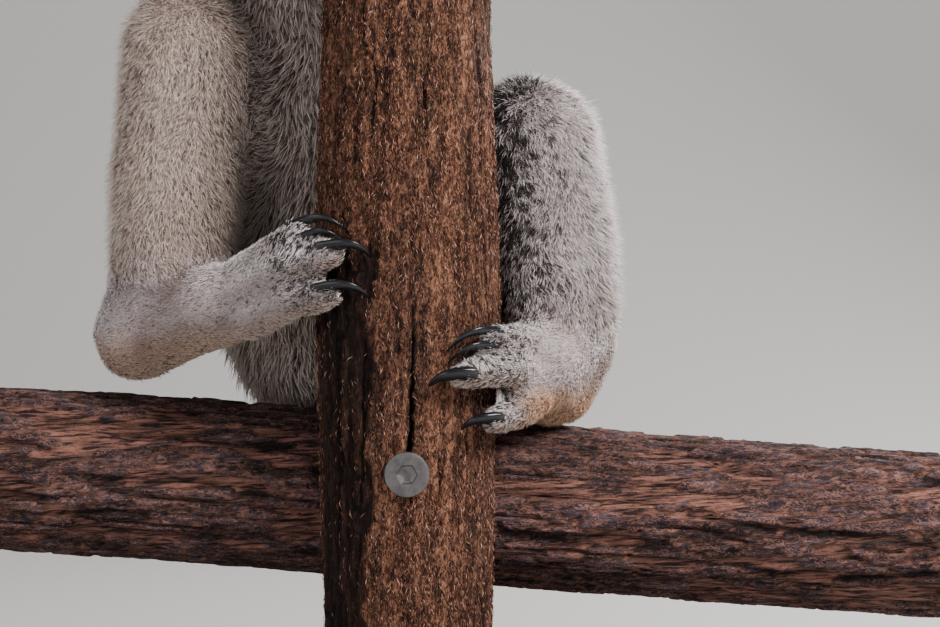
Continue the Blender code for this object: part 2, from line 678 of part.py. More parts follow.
def build():
    """Makes every piece of the model."""
    for stale in list(bpy.data.objects):
        bpy.data.objects.remove(stale, do_unlink=True)
    parts = make_collection("koala")
    guides = make_collection("guides")
    fur = make_material("fur", (0.36, 0.31, 0.27), 0.9)
    claw_horn = make_material("claw_horn", (0.02, 0.02, 0.025), 0.28)
    eye_glass = make_material("eye_glass", (0.035, 0.02, 0.012), 0.06)
    nose_leather = make_material("nose_leather", (0.03, 0.026, 0.026), 0.45)
    post_wood = make_material("post_wood", (0.19, 0.10, 0.065), 0.85)
    beam_bark = make_material("beam_bark", (0.10, 0.06, 0.055), 0.9)
    steel = make_material("steel", (0.45, 0.45, 0.46), 0.42, 0.9)
    stand_paint = make_material("stand_paint", (0.06, 0.06, 0.065), 0.5)

    post = make_post("post", parts)
    beam = make_beam("beam", parts)
    post_cutter = make_cutter(make_post("post_cutter", guides, GAP))
    beam_cutter = make_cutter(make_beam("beam_cutter", guides, GAP))
    boolean(beam, post_cutter)
    keep_largest(beam)
    bolt = make_bolt(parts, guides)
    bore_for_bolt(post, beam, guides)
    base = make_base(parts)
    rod = make_rod(parts)
    up = Vector((0.0, 0.0, 1.0))
    rod_top = up * (POST_BOTTOM + ROD_IN_POST + 2 * GAP)
    boolean(post, make_cylinder_cutter("rod_bore", guides, up * 0.03, rod_top, ROD_RADIUS + GAP, 24))
    spigot_end = up * (STAND_THICK - ROD_IN_BASE - GAP)
    boolean(base, make_cylinder_cutter("spigot_bore", guides, spigot_end, up * 0.05, ROD_RADIUS + GAP, 24))

    flesh = make_flesh(guides)
    for side in (-1, 1):
        boolean(flesh, ear_bowl_cutter(side, guides))
    for cutter in (post_cutter, beam_cutter):
        boolean(flesh, cutter)
    for cutter in make_face_pieces(guides, "cut_", GAP):
        boolean(flesh, make_cutter(cutter))
    for name in CLAWS:
        cutter = make_claw(name, guides, 2 * GAP)
        cutter.name = "cut_" + name
        boolean(flesh, make_cutter(cutter))
    for name, centre, normal, radius in joint_plates():
        bm = bmesh.new()
        add_cylinder(bm, centre, normal, radius, GAP, 24)
        boolean(flesh, make_cutter(object_from(bm, "plate_" + name, guides)))
    limbs = [take_limb(flesh, name, parts, guides, *outline) for name, *outline in limb_outlines()]
    pieces = split_flesh(flesh, parts) + limbs
    make_cutter(flesh)

    eyes_and_nose = make_face_pieces(parts)
    claws = [boolean(make_claw(name, parts), post_cutter) for name in CLAWS]
    for piece in pieces:
        tidy_mesh(keep_largest(piece))
        piece.data.materials.clear()
        piece.data.materials.append(fur)
        shade(piece, 50)
    finishes = ((post, post_wood), (beam, beam_bark), (bolt, steel), (base, stand_paint), (rod, steel))
    for made, finish in finishes:
        tidy_mesh(made)
        made.data.materials.append(finish)
        shade(made, 35)
    for claw in claws:
        claw.data.materials.append(claw_horn)
        shade(claw, 50)
    for piece in eyes_and_nose:
        piece.data.materials.append(nose_leather if piece.name == "nose" else eye_glass)
        shade(piece, 60)


build()
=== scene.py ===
# %% [markdown]
# # A koala holding a rough post, as a museum model
#
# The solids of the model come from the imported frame: a post with a beam bolted behind
# it, a plain stand, and a koala whose hind feet grip the post. This lesson makes what the
# eye sees: weathered timber, a worn bolt, glossy claws, a leathery nose, a skin, and a
# coat of solid hairs that Geometry Nodes plant on that skin.
#
# Every place below is measured from the frame, so the looks sit where the solids are.

# %% Load the frame
import math

import bmesh
import bpy
import numpy as np
from mathutils import Matrix, Vector
from mathutils.bvhtree import BVHTree
from mathutils.kdtree import KDTree


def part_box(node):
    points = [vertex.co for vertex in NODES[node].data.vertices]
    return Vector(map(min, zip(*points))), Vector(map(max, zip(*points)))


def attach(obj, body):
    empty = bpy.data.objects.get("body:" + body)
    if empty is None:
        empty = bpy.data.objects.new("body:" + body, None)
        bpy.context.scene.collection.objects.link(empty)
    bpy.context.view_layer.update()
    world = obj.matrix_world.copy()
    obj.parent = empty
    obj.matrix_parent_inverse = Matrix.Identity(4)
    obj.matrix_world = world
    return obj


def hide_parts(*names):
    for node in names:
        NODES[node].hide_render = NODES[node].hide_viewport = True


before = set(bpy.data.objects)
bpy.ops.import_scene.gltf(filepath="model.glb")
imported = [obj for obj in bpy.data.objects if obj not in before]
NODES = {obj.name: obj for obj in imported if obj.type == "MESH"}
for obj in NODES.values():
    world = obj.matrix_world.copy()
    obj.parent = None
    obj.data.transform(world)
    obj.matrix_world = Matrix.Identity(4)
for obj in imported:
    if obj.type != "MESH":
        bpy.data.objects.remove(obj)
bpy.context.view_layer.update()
MM = 0.001

# %% [markdown]
# ## Shader nodes in few words
#
# Every finish below is a tree of small nodes. Each node takes four or five lines of Python
# to add, set and link, and a tree has dozens. So a few helpers say the same in one line
# each, and the finishes can be read as sentences.

# %% Shader node helpers
def plug(tree, node, **inputs):
    """Gives a node's inputs values or sockets; i0, i1... pick an input by its number, and an
    underscore in a name stands for a space."""
    for key, value in inputs.items():
        by_number = key[0] == "i" and key[1:].isdigit()
        slot = node.inputs[int(key[1:]) if by_number else key.replace("_", " ")]
        if isinstance(value, bpy.types.NodeSocket):
            tree.links.new(value, slot)
        else:
            slot.default_value = value
    return node


def add_node(tree, kind, settings=(), **inputs):
    """Adds a node; settings are its own properties."""
    node = tree.nodes.new(kind)
    for key, value in dict(settings).items():
        setattr(node, key, value)
    return plug(tree, node, **inputs)


def maths(tree, operation, a, b=0.0, c=0.0):
    """The result of one sum on numbers or sockets."""
    return add_node(tree, "ShaderNodeMath", {"operation": operation}, i0=a, i1=b, i2=c).outputs[0]


def times(tree, a, b):
    """a times b."""
    return maths(tree, "MULTIPLY", a, b)


def vector_maths(tree, operation, a, b):
    """The result of one sum on vectors."""
    return add_node(tree, "ShaderNodeVectorMath", {"operation": operation}, i0=a, i1=b).outputs[0]


def as_vector(tree, x, y, z=0.0):
    """A vector from three numbers."""
    return add_node(tree, "ShaderNodeCombineXYZ", X=x, Y=y, Z=z).outputs[0]


def noise_texture(tree, place, scale, detail, **more):
    """The noise texture's value at a place."""
    return add_node(tree, "ShaderNodeTexNoise", Vector=place, Scale=scale, Detail=detail,
                    **more).outputs["Fac"]


def with_alpha(colour):
    """A plain colour of three numbers as Blender wants it; anything else stays."""
    return (*colour, 1) if isinstance(colour, tuple) and len(colour) == 3 else colour


def mix_colours(tree, share, a, b, blend="MIX"):
    """Colour a turning into colour b."""
    settings = {"data_type": "RGBA", "blend_type": blend, "clamp_factor": True}
    return add_node(tree, "ShaderNodeMix", settings, i0=share, i6=with_alpha(a),
                    i7=with_alpha(b)).outputs[2]


def brightened(tree, colour, amount):
    """A colour times a number."""
    grey = add_node(tree, "ShaderNodeCombineColor", i0=amount, i1=amount, i2=amount).outputs[0]
    return mix_colours(tree, 1.0, colour, grey, "MULTIPLY")


def ramp(tree, value, stops):
    """A colour ramp through (place, colour) stops."""
    node = add_node(tree, "ShaderNodeValToRGB", i0=value)
    band = node.color_ramp
    while len(band.elements) < len(stops):
        band.elements.new(0.5)
    for element, (place, colour) in zip(band.elements, stops):
        element.position, element.color = place, with_alpha(colour)
    return node.outputs["Color"]


def remap(tree, value, low, high, to_low=0.0, to_high=1.0):
    """value carried from low..high to to_low..to_high, held inside."""
    return add_node(tree, "ShaderNodeMapRange", {"clamp": True}, i0=value, i1=low, i2=high,
                    i3=to_low, i4=to_high).outputs[0]


def attribute(tree, name, output="Fac"):
    """What the mesh stores under `name`."""
    return add_node(tree, "ShaderNodeAttribute", {"attribute_name": name}).outputs[output]


def object_place(tree):
    """Places on the object, in metres."""
    return add_node(tree, "ShaderNodeTexCoord").outputs["Object"]


print("node helpers ready")

# %% Helpers for materials and node groups
def new_material(name):
    """A material, its tree and its Principled shader."""
    material = bpy.data.materials.new(name)
    material.use_nodes = True
    return material, material.node_tree, material.node_tree.nodes["Principled BSDF"]


def new_group(name, inputs, outputs):
    """An empty shader node group: inputs as (name, kind, default), outputs as (name, kind)."""
    group = bpy.data.node_groups.new(name, "ShaderNodeTree")
    for label, kind, default in inputs:
        socket = group.interface.new_socket(label, in_out="INPUT", socket_type=kind)
        if default is not None:
            socket.default_value = default
    for label, kind in outputs:
        group.interface.new_socket(label, in_out="OUTPUT", socket_type=kind)
    return group, group.nodes.new("NodeGroupInput"), group.nodes.new("NodeGroupOutput")


def use_group(tree, group, **inputs):
    """Places a group in a material."""
    return add_node(tree, "ShaderNodeGroup", {"node_tree": group}, **inputs)


def bump(tree, height, strength, distance):
    """A bump normal from a height."""
    return add_node(tree, "ShaderNodeBump", Height=height, Strength=strength,
                    Distance=distance).outputs[0]


print("material helpers ready")

# %% [markdown]
# ## Floor, camera and light
#
# A museum model is shown on a plain pale ground that curves up behind it, so that no
# horizon cuts the picture. The sweep could be a plane with a separate wall, but then the
# joint shows. A profile carried sideways gives one smooth sheet. Its back lets the eye
# through, as in a studio with one open side, so the model can be looked at from behind too.
#
# The camera looks level at the hind feet from straight in front with a long lens, which
# keeps the post's sides parallel. One big soft light stands high on the right, where the
# daylight came from, one low light fills the left, and a third brushes the coat's edge
# from behind.

# %% Floor and backdrop
FLOOR_NEAR, FLOOR_FAR, WALL_HEIGHT, SWEEP_RADIUS, HALF_WIDTH = -6.0, 2.6, 4.5, 1.2, 7.0
SWEEP_STEPS = 24


def add_to_scene(name, data):
    """A new object in the scene that holds the data."""
    item = bpy.data.objects.new(name, data)
    bpy.context.scene.collection.objects.link(item)
    return item


def make_ground(colour):
    """Painted board, whose colour drifts a little; seen from behind it isn't there."""
    material, tree, shader = new_material("pale_ground")
    drift = noise_texture(tree, object_place(tree), 1.3, 2.0)
    shades = ((0.0, tuple(c * 0.96 for c in colour)), (1.0, colour))
    plug(tree, shader, Base_Color=ramp(tree, drift, shades), Roughness=0.85)
    behind = add_node(tree, "ShaderNodeNewGeometry").outputs["Backfacing"]
    nothing = add_node(tree, "ShaderNodeBsdfTransparent").outputs[0]
    either = add_node(tree, "ShaderNodeMixShader", i0=behind, i1=shader.outputs[0], i2=nothing)
    plug(tree, tree.nodes["Material Output"], Surface=either.outputs[0])
    return material


def make_sweep():
    """The floor and wall as one profile, rounded where they meet, carried across the view."""
    turn = [math.radians(90) * i / SWEEP_STEPS for i in range(SWEEP_STEPS + 1)]
    profile = [(FLOOR_NEAR, 0.0)]
    profile += [(FLOOR_FAR - SWEEP_RADIUS * (1 - math.sin(a)), SWEEP_RADIUS * (1 - math.cos(a)))
                for a in turn]
    profile.append((FLOOR_FAR, WALL_HEIGHT))
    mesh = bpy.data.meshes.new("sweep")
    verts = [(side * HALF_WIDTH, y, z) for y, z in profile for side in (-1, 1)]
    faces = [(2 * i, 2 * i + 1, 2 * i + 3, 2 * i + 2) for i in range(len(profile) - 1)]
    mesh.from_pydata(verts, [], faces)
    mesh.shade_smooth()
    mesh.materials.append(make_ground((0.62, 0.61, 0.59)))
    add_to_scene("studio_sweep", mesh)


make_sweep()
print("sweep: floor to", FLOOR_FAR, "m behind, wall", WALL_HEIGHT, "m high")

# %% Camera
CAMERA_PLACE = (0.0325, -1.345, 0.258)
CAMERA_LENS = 99.5

camera = add_to_scene("camera", bpy.data.cameras.new("camera"))
camera.location = CAMERA_PLACE
camera.rotation_euler = (math.radians(90), 0, 0)
camera.data.lens = CAMERA_LENS
camera.data.sensor_width = 36
camera.data.clip_end = 50
bpy.context.scene.camera = camera
print("camera:", CAMERA_LENS, "mm lens,", round(-CAMERA_PLACE[1], 2), "m in front of the post")

# %% Lights
# name, place, what it points at, size, power in watts, colour
LIGHTS = (
    ("key_light", (1.5, -1.15, 1.75), (0.03, 0.0, 0.30), 0.9, 84, (1.0, 0.965, 0.95)),
    ("fill_light", (-1.9, -1.6, 0.7), (0.0, 0.0, 0.30), 1.6, 17, (0.97, 0.97, 1.0)),
    ("edge_light", (1.35, 1.25, 1.10), (0.03, 0.05, 0.35), 0.8, 42, (0.97, 0.98, 1.0)),
)


def add_light(name, place, aim, size, power, colour):
    """One square soft box that faces its aim."""
    light = add_to_scene(name, bpy.data.lights.new(name, "AREA"))
    light.data.size = size
    light.data.energy = power
    light.data.color = colour
    light.location = place
    light.rotation_euler = (Vector(aim) - Vector(place)).to_track_quat("-Z", "Y").to_euler()


for light in LIGHTS:
    add_light(*light)
world = bpy.data.worlds.new("studio")
world.use_nodes = True
sky = world.node_tree.nodes["Background"].inputs
sky["Color"].default_value, sky["Strength"].default_value = (0.88, 0.88, 0.90, 1), 0.30
bpy.context.scene.world = world
print("lights:", ", ".join(light[0] for light in LIGHTS))

# %% [markdown]
# ## Noise that shapes a mesh
#
# Bark, fibre and skin are never even. Their relief has to be in the mesh, because a
# silhouette shows only what the mesh has, and so the same kind of smooth random field that
# shaders use is written here for whole arrays of points. Blender's own Displace modifier
# could do one layer of it. Cracks, plates and masks that depend on each other are simpler
# when the field is a function that can be called and combined.

# %% Smooth noise for arrays of points
def lattice(corner, seed):
    """A repeatable value from -1 to 1 for each whole-number corner (n, 3)."""
    h = corner[:, 0] * 374761393 + corner[:, 1] * 668265263 + corner[:, 2] * 1274126177
    h = (h + seed * 974634777) & 0xFFFFFFFF
    h = ((h ^ (h >> 13)) * 1103515245) & 0xFFFFFFFF
    h = ((h ^ (h >> 16)) * 2246822519) & 0xFFFFFFFF
    return ((h ^ (h >> 15)) & 0xFFFFFF) / 0x7FFFFF - 1.0


def noise(points, seed=0):
    """Smooth noise of about -1 to 1 at points (n, 3), with one bump in each unit cube."""
    base = np.floor(points).astype(np.int64)
    f = points - base
    f = f * f * f * (f * (f * 6 - 15) + 10)
    total = np.zeros(len(points))
    for dx in (0, 1):
        for dy in (0, 1):
            for dz in (0, 1):
                weight = ((f[:, 0] if dx else 1 - f[:, 0]) * (f[:, 1] if dy else 1 - f[:, 1])
                          * (f[:, 2] if dz else 1 - f[:, 2]))
                total += weight * lattice(base + (dx, dy, dz), seed)
    return total


def layered(points, seed):
    """Noise with finer and weaker noise on top."""
    return (noise(points, seed) + 0.5 * noise(points * 2.03, seed + 17)) / 1.5


def plates(u, v, seed, around=0):
    """Irregular plates on a sheet with one plate in each unit square: the distance in from
    the nearest edge, and a value from -1 to 1 for each plate. v repeats every `around`."""
    cell_u, cell_v = np.floor(u).astype(np.int64), np.floor(v).astype(np.int64)
    first, second = np.full(len(u), 9.0), np.full(len(u), 9.0)
    owner = np.zeros(len(u))
    for du in (-1, 0, 1):
        for dv in (-1, 0, 1):
            cu, cv = cell_u + du, cell_v + dv
            home = np.stack([cu, cv % around if around else cv, 0 * cu], 1)
            pu = cu + 0.5 + 0.46 * lattice(home, seed)
            pv = cv + 0.5 + 0.46 * lattice(home, seed + 1)
            d = np.hypot(u - pu, v - pv)
            nearer = d < first
            second = np.where(nearer, first, np.minimum(second, d))
            owner = np.where(nearer, lattice(home, seed + 2), owner)
            first = np.where(nearer, d, first)
    return second - first, owner


def unit(v):
    """Vectors (n, 3) or (3,) at length one."""
    return v / np.maximum(np.linalg.norm(v, axis=-1, keepdims=True), 1e-9)


def rise(low, high, x):
    """0 below low, 1 above high, and a smooth rise between."""
    t = np.clip((x - low) / (high - low), 0, 1)
    return t * t * (3 - 2 * t)


def bell(x):
    """1 at 0, falling off smoothly on both sides."""
    return np.exp(-x ** 2)


def lengths(v):
    """The length of each vector (n, 3)."""
    return np.linalg.norm(v, axis=-1)


print("noise:", np.round(noise(np.array([[0.5, 0.5, 0.5], [1.5, 0.2, 0.7]])), 3))

# %% Small helpers for meshes and attributes
def finish_object(name, mesh, material, slot, *nodes):
    """Links a finished mesh as a piece at the origin, with its material and the frame's nodes
    that it stands for, which it hides. The slot argument is not used."""
    piece = add_to_scene(name, mesh)
    if material is not None:
        mesh.materials.clear()
        mesh.materials.append(material)
    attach(piece, "root")
    if nodes:
        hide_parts(*nodes)
    return piece


def applied_mesh(holder):
    """A plain mesh of the object with its modifiers applied."""
    evaluated = holder.evaluated_get(bpy.context.evaluated_depsgraph_get())
    return bpy.data.meshes.new_from_object(evaluated)


def face_out(mesh):
    """Turns every face of a closed mesh outwards."""
    bm = bmesh.new()
    bm.from_mesh(mesh)
    bmesh.ops.recalc_face_normals(bm, faces=bm.faces)
    bm.to_mesh(mesh)
    bm.free()


def read_rows(items, key, width, kind=float):
    """What foreach_get reads from a mesh's items, as rows of `width` numbers."""
    flat = np.empty(len(items) * width, kind)
    items.foreach_get(key, flat)
    return flat.reshape(-1, width)


def points_of(mesh):
    """The vertices' places (n, 3)."""
    return read_rows(mesh.vertices, "co", 3)


def normals_of(mesh):
    """The vertices' normals (n, 3)."""
    return read_rows(mesh.vertex_normals, "vector", 3)


def edges_of(mesh):
    """The edges' vertex numbers (m, 2)."""
    return read_rows(mesh.edges, "vertices", 2, np.int64)


def node_points(name):
    """The vertices of a node of the frame (n, 3)."""
    return points_of(NODES[name].data)


VALUE_KEYS = {"FLOAT": "value", "FLOAT_VECTOR": "vector", "FLOAT_COLOR": "color"}


def set_values(mesh, name, values, kind="FLOAT", domain="POINT"):
    """Stores a number, a vector or a colour on each vertex or corner."""
    layer = mesh.attributes.new(name, kind, domain)
    layer.data.foreach_set(VALUE_KEYS[kind], np.asarray(values, np.float32).ravel())


def values_of(mesh, name):
    """Reads one number from each vertex."""
    return read_rows(mesh.attributes[name].data, "value", 1, np.float32)[:, 0]


print("mesh helpers ready")

# %% Grids that are fine where they are seen, and closed shells
def graded(low, high, fine_low, fine_high, fine, coarse):
    """Places from low to high, about `fine` apart inside the fine range and `coarse`
    apart outside it."""
    parts = []
    for start, end, gap in ((low, fine_low, coarse), (fine_low, fine_high, fine),
                            (fine_high, high, coarse)):
        count = max(1, round((end - start) / gap))
        parts.append(np.linspace(start, end, count, endpoint=False))
    return np.append(np.concatenate(parts), high)


def closed_grid_mesh(name, rings, looped=False):
    """A closed mesh through rings of equally many points. The last ring joins the first one
    if looped; otherwise both are closed by a fan to the ring's own middle."""
    count, number = len(rings[0]), len(rings)
    row = np.arange(count)
    nxt = np.roll(row, -1)
    points, faces = list(rings), []
    for k in range(number if looped else number - 1):
        a, b = k * count, (k + 1) % number * count
        faces += np.stack([a + row, a + nxt, b + nxt, b + row], 1).tolist()
    if not looped:
        points += [[rings[0].mean(0)], [rings[-1].mean(0)]]
        first, top = number * count, (number - 1) * count
        faces += np.stack([np.full(count, first), nxt, row], 1).tolist()
        faces += np.stack([np.full(count, first + 1), top + row, top + nxt], 1).tolist()
    mesh = bpy.data.meshes.new(name)
    mesh.from_pydata(np.concatenate(points).tolist(), [], faces)
    mesh.shade_smooth()
    return mesh


print("a graded line:", graded(0, 10, 4, 6, 0.5, 2))

# %% [markdown]
# ## The post
#
# The post is a debarked trunk that stood outdoors for years: fibrous where bark still
# clings, furrowed where it has come away, with one deep drying crack that runs down into
# the bolt. It could be a cylinder with a bump map, but the camera sees its two edges from
# close by, and a bump leaves those straight. So the post is a fine grid wrapped round the
# frame's own profile, and every vertex moves in or out by a height that is built up in
# layers: broad lumps, furrows, flakes, peeled patches and drawn cracks. The grid is fine
# on the front and coarse behind.
#
# The same height, stored on each vertex, later tells the material where it paints shade into
# cracks and furrows and light onto crests.

# %% Measure the post in the frame
def profile_of_post():
    """Heights of the post's rings and its radius at each, from the node's own mesh."""
    co = node_points("post")
    reach = np.hypot(co[:, 0], co[:, 1])
    outer = co[reach > 0.035]
    level, count = np.unique(np.round(outer[:, 2], 4), return_counts=True)
    level = level[count >= 15]
    radius = [np.hypot(*outer[np.abs(outer[:, 2] - z) < 0.0001, :2].T).max() for z in level]
    return level, np.array(radius)


POST_LEVELS, POST_RADII = profile_of_post()
ROD_SHAFT = node_points("stand_rod")[node_points("stand_rod")[:, 2] > 0.06]
ROD_RADIUS = float(np.ptp(ROD_SHAFT[:, 0]) / 2)
ROD_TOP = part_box("stand_rod")[1].z
BOLT_LOW, BOLT_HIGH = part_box("bolt")
BOLT_X = (BOLT_LOW.x + BOLT_HIGH.x) / 2
BOLT_Z = (BOLT_LOW.z + BOLT_HIGH.z) / 2
BOLT_FACE_Y = BOLT_LOW.y
BOLT_HEAD_RADIUS = (BOLT_HIGH.x - BOLT_LOW.x) / 2
BOLT_HEAD_THICKNESS = 4.2 * MM
print("post levels", np.round(POST_LEVELS, 3), "radii", np.round(POST_RADII, 4))
print("bolt at", round(BOLT_X, 4), round(BOLT_Z, 4), "head radius", round(BOLT_HEAD_RADIUS, 4))

# %% Cracks of the post
# Each crack is drawn on the post's face: across (mm, to +X), height (mm), half width (mm),
# depth (mm), from its top end down.
POST_CRACKS = (
    ((3.4, 266, 0.2, 1.0), (4.2, 248, 0.6, 3), (3.6, 222, 0.95, 6), (3.2, 203, 1.3, 8),
     (1.6, 188, 1.7, 8)),
    ((2.4, 166, 0.6, 2.5), (3.0, 150, 0.4, 2), (2.6, 132, 0.3, 1)),
    ((9.5, 379, 0.5, 2), (9.8, 366, 0.9, 4), (10.8, 350, 0.4, 2)),
    ((17.5, 188, 0.3, 1.5), (18.2, 176, 0.6, 3), (19.0, 160, 0.3, 1.5)),
    ((33.5, 205, 0.4, 2), (34.5, 190, 0.8, 4), (34.0, 172, 0.5, 2), (35, 150, 0.4, 1.5)),
    ((44.0, 392, 0.6, 3), (45.5, 360, 0.9, 5), (44.5, 330, 1.1, 5), (46.0, 305, 0.9, 5),
     (48.5, 280, 1.2, 5), (52.0, 256, 0.9, 4), (54, 235, 0.6, 3)),
    ((-16, 395, 0.5, 2), (-15, 370, 0.8, 3), (-17, 345, 0.5, 2)),
    ((-22, 245, 0.5, 2), (-23, 222, 0.9, 4), (-22, 196, 0.8, 3.5), (-24, 160, 0.5, 2.5)),
    ((-38, 250, 0.7, 3), (-40, 215, 1.2, 5), (-39, 175, 1.0, 4.5), (-41, 130, 0.7, 3)),
    ((22, 268.5, 0.25, 1.0), (29, 267.5, 0.45, 1.6), (36, 266.0, 0.3, 1.2)),
    ((-4, 201.8, 0.25, 0.8), (5, 200.2, 0.4, 1.4), (10, 201.4, 0.35, 1.2), (17, 200.6, 0.2, 0.8)),
    ((-8, 340.5, 0.25, 0.8), (0, 339.5, 0.4, 1.2), (8, 341, 0.25, 0.8)),
    ((110, 560, 0.8, 3), (112, 470, 1.5, 7), (109, 380, 1.0, 5), (111, 300, 0.6, 2)),
    ((-95, 500, 0.8, 3), (-92, 420, 1.2, 5), (-96, 330, 0.9, 4), (-94, 240, 0.6, 2)),
)
PEEL_EDGE = ((-13, 292), (-15, 270), (-20, 250), (-17, 225), (-19, 205), (-21, 185),
             (-18, 165), (-20, 140), (-23, 85))   # across, height: bark is gone to its left
print("post cracks:", len(POST_CRACKS))

# %% Relief of the post: cracks, furrows and flakes
def crack_depth(crack, across, height):
    """How deep (mm) one drawn crack cuts at each place, steep-sided and ragged."""
    line = np.array(crack)
    upright = np.ptp(line[:, 1]) > np.ptp(line[:, 0])
    run, side = (height, across) if upright else (across, height)
    order = np.argsort(line[:, 1] if upright else line[:, 0])
    line = line[order] if upright else line[order][:, (1, 0, 2, 3)]
    inside = (run >= line[0, 1]) & (run <= line[-1, 1])
    middle, half, depth = (np.interp(run, line[:, 1], line[:, k]) for k in (0, 2, 3))
    ragged = np.stack([run / 3.1, run * 0, across * 0 + line[0, 1]], 1)
    middle = middle + 0.55 * noise(ragged * 0.6, 5) + 0.25 * noise(ragged * 1.5, 12)
    half = half * (0.85 + 0.22 * noise(ragged * 0.9, 6))
    return np.where(inside, depth * rise(1.35, 0.40, np.abs(side - middle) / half), 0)


def post_relief(across, height, spot):
    """Height (mm) of the post's surface over its plain profile; spot is each vertex's
    place in millimetres. Also gives the share that lost its bark."""
    edge = np.interp(height, *np.array(PEEL_EDGE)[::-1, ::-1].T)
    edge += 2.5 * noise(np.stack([height / 9, height * 0, height * 0], 1), 31)
    bare = rise(1.5, -1.5, across - edge) * rise(-75, -55, across)
    bare *= rise(294, 286, height)
    lumps = 0.9 * layered(spot / (26, 26, 95), 1)
    grain = noise(spot / (5.5, 5.5, 70) + 0.35 * noise(spot / 14, 3)[:, None], 2)
    furrow = bell(grain / 0.13)
    strength = 0.55 + 0.75 * rise(10, -35, across) + 0.6 * bare
    strength *= 0.6 + 0.7 * rise(-0.3, 0.5, noise(spot / (18, 18, 60), 4))
    warp = np.stack([noise(spot / 6, s) for s in (7, 8, 9)], 1)
    flakes = layered(spot / (2.9, 2.9, 7.5) + 0.6 * warp, 10)
    curls = np.abs(noise(spot / (3.4, 3.4, 4.2) + 0.9 * warp, 11))
    shaggy = rise(12, -30, across) * rise(225, 290, height) + 0.25
    relief = lumps + 0.55 * flakes + shaggy * (0.9 - 1.5 * curls) - 1.15 * furrow * strength
    relief -= 1.5 * bare
    return relief, bare


print("first crack at its foot, mm deep:",
      crack_depth(POST_CRACKS[0], np.array([1.8]), np.array([189.0])).round(1))

# %% Rings round the post and over its ends
SEEN_LOW, SEEN_HIGH = 0.095, 0.42     # the stretch that the camera sees
POST_FINE, POST_COARSE = 1.1 * MM, 2.6 * MM
BORE_GAP = 0.35 * MM
SEAT_RADIUS = 12.4 * MM


def post_rings():
    """The rings of the post from the bottom bore, round the outside, to the top's middle."""
    angle = graded(-math.pi, math.pi, -1.35, 1.35, 0.95 * MM / POST_RADII.mean(),
                   2.3 * MM / POST_RADII.mean())[:-1]
    z = graded(POST_LEVELS[0], POST_LEVELS[-1], SEEN_LOW, SEEN_HIGH, POST_FINE, POST_COARSE)
    radius = np.interp(z, POST_LEVELS, POST_RADII)
    a, h = np.meshgrid(angle, z)
    r = np.repeat(radius[:, None], len(angle), 1)
    around = np.stack([np.sin(a) * r, -np.cos(a) * r, h], 2)
    return angle, z, radius, around


def sawn_end(ring, centre_z, inner, lift, seed):
    """Rings that close an end of the post inwards to `inner`, roughly sawn and checked."""
    rings = []
    reach = np.hypot(ring[:, 0], ring[:, 1])
    angle = np.arctan2(ring[:, 0], -ring[:, 1])
    for share in np.linspace(0.985, 0.0, 22):
        r = inner + (reach - inner) * share
        x, y = np.sin(angle) * r, -np.cos(angle) * r
        spot = np.stack([x, y, x * 0], 1) / MM
        saw = 0.18 * noise(spot / (30, 1.6, 1), seed)
        rays = np.abs(np.sin(angle * 2.5 + 1.3 * noise(spot / 22, seed + 1)))
        check = bell(rays / 0.05) * rise(2, 9, r / MM)
        check *= rise(41, 30, r / MM)
        z = centre_z + lift * (saw - 2.2 * check) * MM
        rings.append(np.stack([x, y, z], 1))
    return rings


print("post rings:", len(post_rings()[1]), "of", len(post_rings()[0]), "points")

# %% Build the post
def store_timber(mesh, relief, bare, before, after, top_relief=0.0):
    """Stores the relief, the bare share and 1 on sawn ends: `before` and `after` count the
    vertices of the ends, and the two middles of the fans come last."""
    for name, values, low, high in (("relief", relief, 0.0, top_relief),
                                    ("bare", bare, 1.0, 1.0), ("sawn", 0 * bare, 1.0, 1.0)):
        set_values(mesh, name, np.concatenate(
            [np.full(before, low), values, np.full(after, high), [low, high]]))


def build_post():
    """The post's mesh, with the relief and the bare share on its vertices."""
    angle, z, radius, around = post_rings()
    across = (np.tile(angle, len(z)) * np.repeat(radius, len(angle))) / MM
    height = np.repeat(z, len(angle)) / MM
    spot = around.reshape(-1, 3) / MM
    relief, bare = post_relief(across, height, spot)
    cracks = np.zeros(len(relief))
    for crack in POST_CRACKS:
        cracks = np.maximum(cracks, crack_depth(crack, across, height))
    ends = np.minimum(height - height.min(), height.max() - height)
    moved = (relief - cracks) * rise(0, 4, ends) - 1.2 * rise(3, 0, ends)
    out = spot.copy()
    out[:, :2] *= 1 + (moved * MM / np.repeat(radius, len(angle)))[:, None]
    out *= MM
    from_bolt = np.hypot(out[:, 0] - BOLT_X, out[:, 2] - BOLT_Z)
    seat = rise(SEAT_RADIUS + 1.5 * MM, SEAT_RADIUS - 0.5 * MM, from_bolt)
    seat = np.where(out[:, 1] < 0, seat, 0)
    seat_y = BOLT_FACE_Y + BOLT_HEAD_THICKNESS + BORE_GAP
    out[:, 1] += seat * (np.maximum(out[:, 1], seat_y) - out[:, 1])
    rings = list(out.reshape(len(z), len(angle), 3))
    bore = ROD_RADIUS + BORE_GAP
    bottom = sawn_end(rings[0], z[0], bore, -1, 41)[::-1]
    top = sawn_end(rings[-1], z[-1], 0.4 * MM, 1, 43)
    bore_roof = [np.stack([np.sin(angle) * s * bore, -np.cos(angle) * s * bore,
                           np.full(len(angle), ROD_TOP + BORE_GAP)], 1) for s in (0.1, 1.0)]
    mesh = closed_grid_mesh("post_timber", bore_roof + bottom + rings + top)
    before, after = len(bore_roof) + len(bottom), len(top)
    store_timber(mesh, moved, bare, before * len(angle), after * len(angle), 0.2)
    return mesh


post_mesh = build_post()
print("post:", len(post_mesh.polygons), "faces, relief stored")

